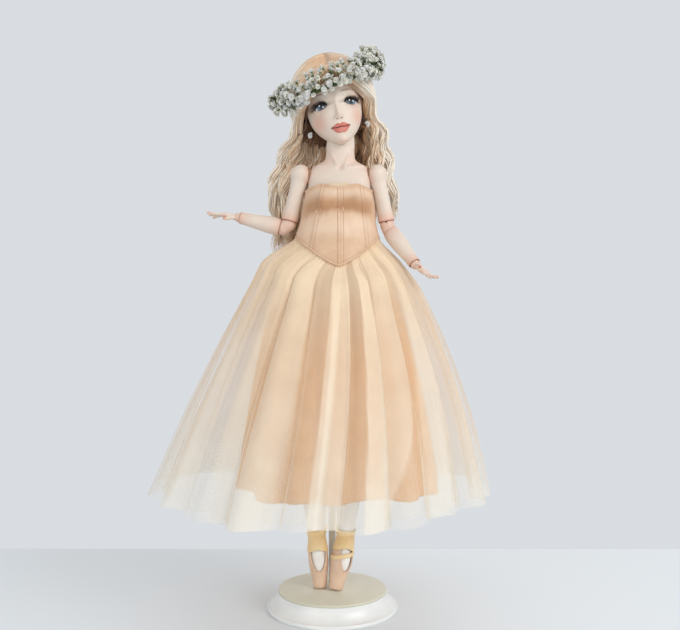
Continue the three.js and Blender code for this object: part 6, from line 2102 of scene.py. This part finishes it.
def make_tulle():
    settings = looks()
    rows, columns = 84, 760
    turn = full_turn(columns)
    share = np.linspace(0, 1, rows)[:, None] ** 0.92
    layers = [
        ("tulle_outer", FRONT_CRESTS, 7, 8.5, 9.5, 0.0, 0.0, 0.6),
        ("tulle_inner", [-68, -47, -30, -12, 4, 16, 31, 49, 68], 6, 7.0, 5.0, 3.0, 9.0, 2.1),
    ]
    for name, crests, behind, deep, roll, drop, under, lean in layers:
        phase = fold_phase(turn, crests, behind)
        uneven = 0.75 + 0.35 * np.sin(phase / (2 * np.pi) * 2.4 + lean)

        def folds(down, phase=phase, deep=deep, roll=roll, uneven=uneven, lean=lean):
            size = uneven * down ** 0.85
            wander = 0.25 * np.sin(down * 5 + phase * 0.31)
            out = deep * size * np.cos(phase + wander) + 1.2 * down * np.cos(phase * 3 + lean)
            aside = roll * size * np.sin(phase + wander + 0.5 * np.sin(phase / 6.3 + lean))
            return out, aside
        points, down = skirt_points(TULLE, TULLE_SHARES, turn, share, folds, drop, under)
        # A light wander of the hem, and the cover of the net, denser at the waist
        points[..., 2] += down ** 8 * (1.6 * np.sin(turn * 7 + lean) + 1.0 * np.sin(phase))
        cover = settings.tulle_cover + settings.tulle_gather * (1 - ease(0.0, 0.6, down)) ** 1.6
        cover = cover * (1 + 0.12 * np.cos(phase * 2) * down)
        if name == "tulle_outer":
            cover = cover + doubled_share(turn, down)
        cover = np.clip(cover, 0, 0.93)
        dense = np.clip(1.05 - down * 1.15 + 0 * turn, 0, 1)
        piece = surface(name, points, caps=(False, False), values={"cover": cover, "dense": dense})
        finish = tulle_finish("Cream tulle", "#fadfbb", "#f3ead9")
        wear(piece, finish, "torso", "tulle", "tulle_overskirt")


def make_underskirt():
    rows, columns = 90, 540
    turn = full_turn(columns)
    share = np.linspace(0, 1, rows)[:, None] ** 0.92
    crests = [-70, -44, -22, -3, 19, 41, 66]
    phase = fold_phase(turn, crests, 5)

    def folds(down):
        size = (0.7 + 0.4 * np.sin(phase / 5.1)) * down ** 0.9
        return 4.2 * size * np.cos(phase) + 0.6 * down * np.cos(phase * 3 + 1), 2.0 * size * np.sin(phase)
    points, down = skirt_points(LINING, LINING_SHARES, turn, share, folds, 0.0, 1.8)
    points[..., 2] += down ** 10 * (2.2 * np.sin(turn * 4 + 0.6) + 1.4 * np.sin(turn * 9))
    hem = bell(1 - share + 0 * turn, 0.012, 0.0022)
    paint = lay(bare(hem.size), "#c79873", 0.45 * hem.reshape(-1))
    # Painted shade in the troughs of the folds
    paint = lay(paint, "#dba060", 0.35 * (0.5 - 0.5 * np.cos(phase + 0 * down)).reshape(-1))
    piece = surface("underskirt_satin", points, caps=(False, False), paint=paint)
    thicken(piece, LINING["wall"])
    satin = cloth_finish("Skirt satin", "#f0b97c", "#e7ab6a", 1900.0, 0.5, 0.35, 0.00005)
    wear(piece, satin, "torso", "skirt_satin", "underskirt")


# CAD nodes that keep their shape: [nodes, name, two colours, roughness, grain, relief, coat, metal]
KEPT_NODES = [
    [["neck_liner", "shoulder_liner_right", "shoulder_liner_left", "hip_liner_right", "hip_liner_left"],
     "Liner suede", "#a58262", "#8f6f52", 0.92, 1500.0, 0.00012, 0.0, 0.0],
    [["arm_elastic", "leg_elastic_right", "leg_elastic_left"],
     "Woven elastic", "#ece7dd", "#d3ccbf", 0.75, 2600.0, 0.00008, 0.0, 0.0],
    [["neck_hook", "hand_hook_right", "hand_hook_left"],
     "Hook steel", "#a6a7a9", "#8d8e90", 0.3, 900.0, 0.00001, 0.0, 1.0],
    [["stand_saddle"], "Saddle enamel", "#f0f1ee", "#e4e6e3", 0.36, 300.0, 0.00002, 0.15, 0.0],
]


def dress_kept_nodes():
    """Materials for the CAD nodes whose own shape is right."""
    for nodes, *values in KEPT_NODES:
        finish = plain_finish(*values, False)
        for kept in nodes:
            bpy.data.objects[kept].material_slots[0].material = finish


# Ribbons: flat satin bands wound round the ankle and crossed over the instep
RIBBON = {
    "thickness": 0.35, "stand_off": 0.9, "bulge": 0.25, "knot": 2.1, "knot_height": 8.5, "knot_out": 9.0,
}
# Each band: [what it rides, height of its middle above the ankle, tilt, where it is highest, width]
RIBBON_BANDS = {
    "right": [
        ["shin", 4.0, 0.5, 60, 6.6], ["foot", -3.4, 0.4, 0, 7.8], ["foot", -8.4, 3.0, 85, 8.4],
        ["foot", -8.6, 3.2, -85, 8.4],
    ],
    "left": [
        ["shin", 4.0, 0.5, -60, 6.6], ["foot", -3.4, 0.4, 0, 7.8], ["foot", -8.0, 2.8, 70, 8.4],
        ["foot", -8.8, 3.0, -85, 8.4], ["foot", -18.5, 4.0, 80, 4.2],
    ],
}


def ribbon_band(name, origin, turn_to, place, band, finish, body, *nodes):
    """A band round a limb, whose height above the ankle swings up and down as it goes round."""
    height, tilt, highest, width = band
    turn = full_turn(96)
    across = np.linspace(-0.5, 0.5, 7)[:, None]
    level = height + tilt * np.cos(turn - math.radians(highest)) + across * width
    points = place(level, RIBBON["bulge"] * (1 - (2 * across) ** 2))
    piece = surface(name, origin + points @ turn_to.T, caps=(False, False))
    thicken(piece, RIBBON["thickness"])
    wear(piece, finish, body, "ribbon", *nodes)


def make_ribbons(side, foot_turn, toe):
    satin = cloth_finish("Gold satin ribbon", "#fbe3b4", "#f6d59c", 2400.0, 0.38, 0.3, 0.00003)
    ankle, knee = pivot(f"ankle_{side}"), pivot(f"knee_lower_{side}")
    length = np.linalg.norm(knee - ankle)
    span = length - LIMB["ankle_cup"] - LIMB["knee_cup"]
    turn = full_turn(96)
    foot_length = np.linalg.norm(ankle - toe)

    def on_shin(level, bulge):
        share = np.clip((length - level - LIMB["knee_cup"]) / span, 0, 1)
        size = LIMB["calf_radius"] * curve(SHIN_SHARES, share) + RIBBON["stand_off"] + bulge
        return np.stack([size * np.sin(turn), -size * np.cos(turn), level], -1)

    def on_foot(level, bulge):
        grow = SHOE["wall"] * 0.5 + SHOE["gap"] + RIBBON["stand_off"] + bulge
        return foot_surface(-level / foot_length, grow, foot_length)
    across = np.array([math.cos(foot_turn), math.sin(foot_turn), 0])
    ways = {
        "shin": (limb_frame(knee, ankle, hinge(f"knee_upper_{side}")), on_shin),
        "foot": (limb_frame(ankle, toe, across), on_foot),
    }
    for number, (rides, *band) in enumerate(RIBBON_BANDS[side]):
        turn_to, place = ways[rides]
        nodes = [f"shoe_ribbon_{side}"] if rides == "shin" else []
        ribbon_band(f"ribbon_{number}_{side}", ankle, turn_to, place, band, satin, f"{rides}_{side}", *nodes)
    inward = 1 if side == "right" else -1
    seat = ankle + np.array([inward * RIBBON["knot_out"], -RIBBON["knot"], RIBBON["knot_height"]])
    knot = ball_object(f"ribbon_knot_{side}", seat, RIBBON["knot"], 16, 24)
    wear(knot, satin, f"shin_{side}", "ribbon")


FOOT_TURN = {"right": math.radians(4), "left": math.radians(37)}
TOE = {"right": np.array([-12.3, -1.0, 20.4]), "left": np.array([3.3, -8.0, 20.4])}
HAND_WAY = {"right": np.array([-33.0, -2.0, 5.0]), "left": np.array([21.4, -22.0, -20.7])}


class PieceOperator:
    """What every piece's operator shares"""

    bl_options = {"REGISTER", "UNDO"}

    def execute(self, context):
        self.build()
        return {"FINISHED"}


class DOLL_OT_stage(PieceOperator, bpy.types.Operator):
    """Camera, lamps, room light and the pale table"""

    bl_idname = "doll.stage"
    bl_label = "Stage"

    def build(self):
        make_stage()


class DOLL_OT_stand(PieceOperator, bpy.types.Operator):
    """Turned base, cream disc and rod"""

    bl_idname = "doll.stand"
    bl_label = "Stand"

    def build(self):
        make_stand()


class DOLL_OT_torso(PieceOperator, bpy.types.Operator):
    """Cast torso with neck, collar bones and sockets"""

    bl_idname = "doll.torso"
    bl_label = "Torso"

    def build(self):
        make_torso()


class DOLL_OT_arms(PieceOperator, bpy.types.Operator):
    """Upper arms, elbow pieces, forearms and hands"""

    bl_idname = "doll.arms"
    bl_label = "Arms"

    def build(self):
        for side in ("right", "left"):
            make_arm(side)
            make_hand(side, HAND_WAY[side])


class DOLL_OT_legs(PieceOperator, bpy.types.Operator):
    """Thighs, knee pieces and shins"""

    bl_idname = "doll.legs"
    bl_label = "Legs"

    def build(self):
        for side in ("right", "left"):
            make_leg(side)


class DOLL_OT_feet(PieceOperator, bpy.types.Operator):
    """Stockinged feet, pointe shoes and their ribbons"""

    bl_idname = "doll.feet"
    bl_label = "Feet"

    def build(self):
        for side in ("right", "left"):
            make_foot(side, FOOT_TURN[side], TOE[side])
            make_ribbons(side, FOOT_TURN[side], TOE[side])


class DOLL_OT_head(PieceOperator, bpy.types.Operator):
    """Painted head, glass eyes, lashes and earrings"""

    bl_idname = "doll.head"
    bl_label = "Head"

    def build(self):
        make_head()


class DOLL_OT_wig(PieceOperator, bpy.types.Operator):
    """Combed cap and long waved strands"""

    bl_idname = "doll.wig"
    bl_label = "Wig"

    def build(self):
        make_hair()


class DOLL_OT_wreath(PieceOperator, bpy.types.Operator):
    """Twisted stems with sprays of small white flowers"""

    bl_idname = "doll.wreath"
    bl_label = "Wreath"

    def build(self):
        make_wreath()


class DOLL_OT_corset(PieceOperator, bpy.types.Operator):
    """Boned satin corset with lace and lacing"""

    bl_idname = "doll.corset"
    bl_label = "Corset"

    def build(self):
        make_corset()


class DOLL_OT_skirts(PieceOperator, bpy.types.Operator):
    """Satin underskirt and sheer tulle layers"""

    bl_idname = "doll.skirts"
    bl_label = "Skirts"

    def build(self):
        make_underskirt()
        make_tulle()


class DOLL_OT_inner(PieceOperator, bpy.types.Operator):
    """Materials of the liners, elastics, hooks and saddle"""

    bl_idname = "doll.inner"
    bl_label = "Inner pieces"

    def build(self):
        dress_kept_nodes()


OPERATORS = (
    DOLL_OT_stage, DOLL_OT_stand, DOLL_OT_torso, DOLL_OT_arms, DOLL_OT_legs, DOLL_OT_feet, DOLL_OT_head,
    DOLL_OT_wig, DOLL_OT_wreath, DOLL_OT_corset, DOLL_OT_skirts, DOLL_OT_inner,
)


class DOLL_PT_pieces(bpy.types.Panel):
    """The doll's pieces, one button each"""

    bl_idname = "DOLL_PT_pieces"
    bl_label = "Ballet doll"
    bl_space_type = "VIEW_3D"
    bl_region_type = "UI"
    bl_category = "Doll"

    def draw(self, context):
        for name in DollLooks.__annotations__:
            self.layout.prop(context.scene.doll_looks, name)
        for operator in OPERATORS:
            self.layout.operator(operator.bl_idname)


CLASSES = (DollLooks, *OPERATORS, DOLL_PT_pieces)


def register():
    for item in CLASSES:
        bpy.utils.register_class(item)
    bpy.types.Scene.doll_looks = bpy.props.PointerProperty(type=DollLooks)


def unregister():
    del bpy.types.Scene.doll_looks
    for item in reversed(CLASSES):
        bpy.utils.unregister_class(item)


def main():
    register()
    for operator in OPERATORS:
        group, name = operator.bl_idname.split(".")
        getattr(getattr(bpy.ops, group), name)()
    boxes = {"cad": cad_box, "visual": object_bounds()}
    {key: [[float(v) for v in corner] for corner in box] for key, box in boxes.items()}


if __name__ == "__main__":
    main()
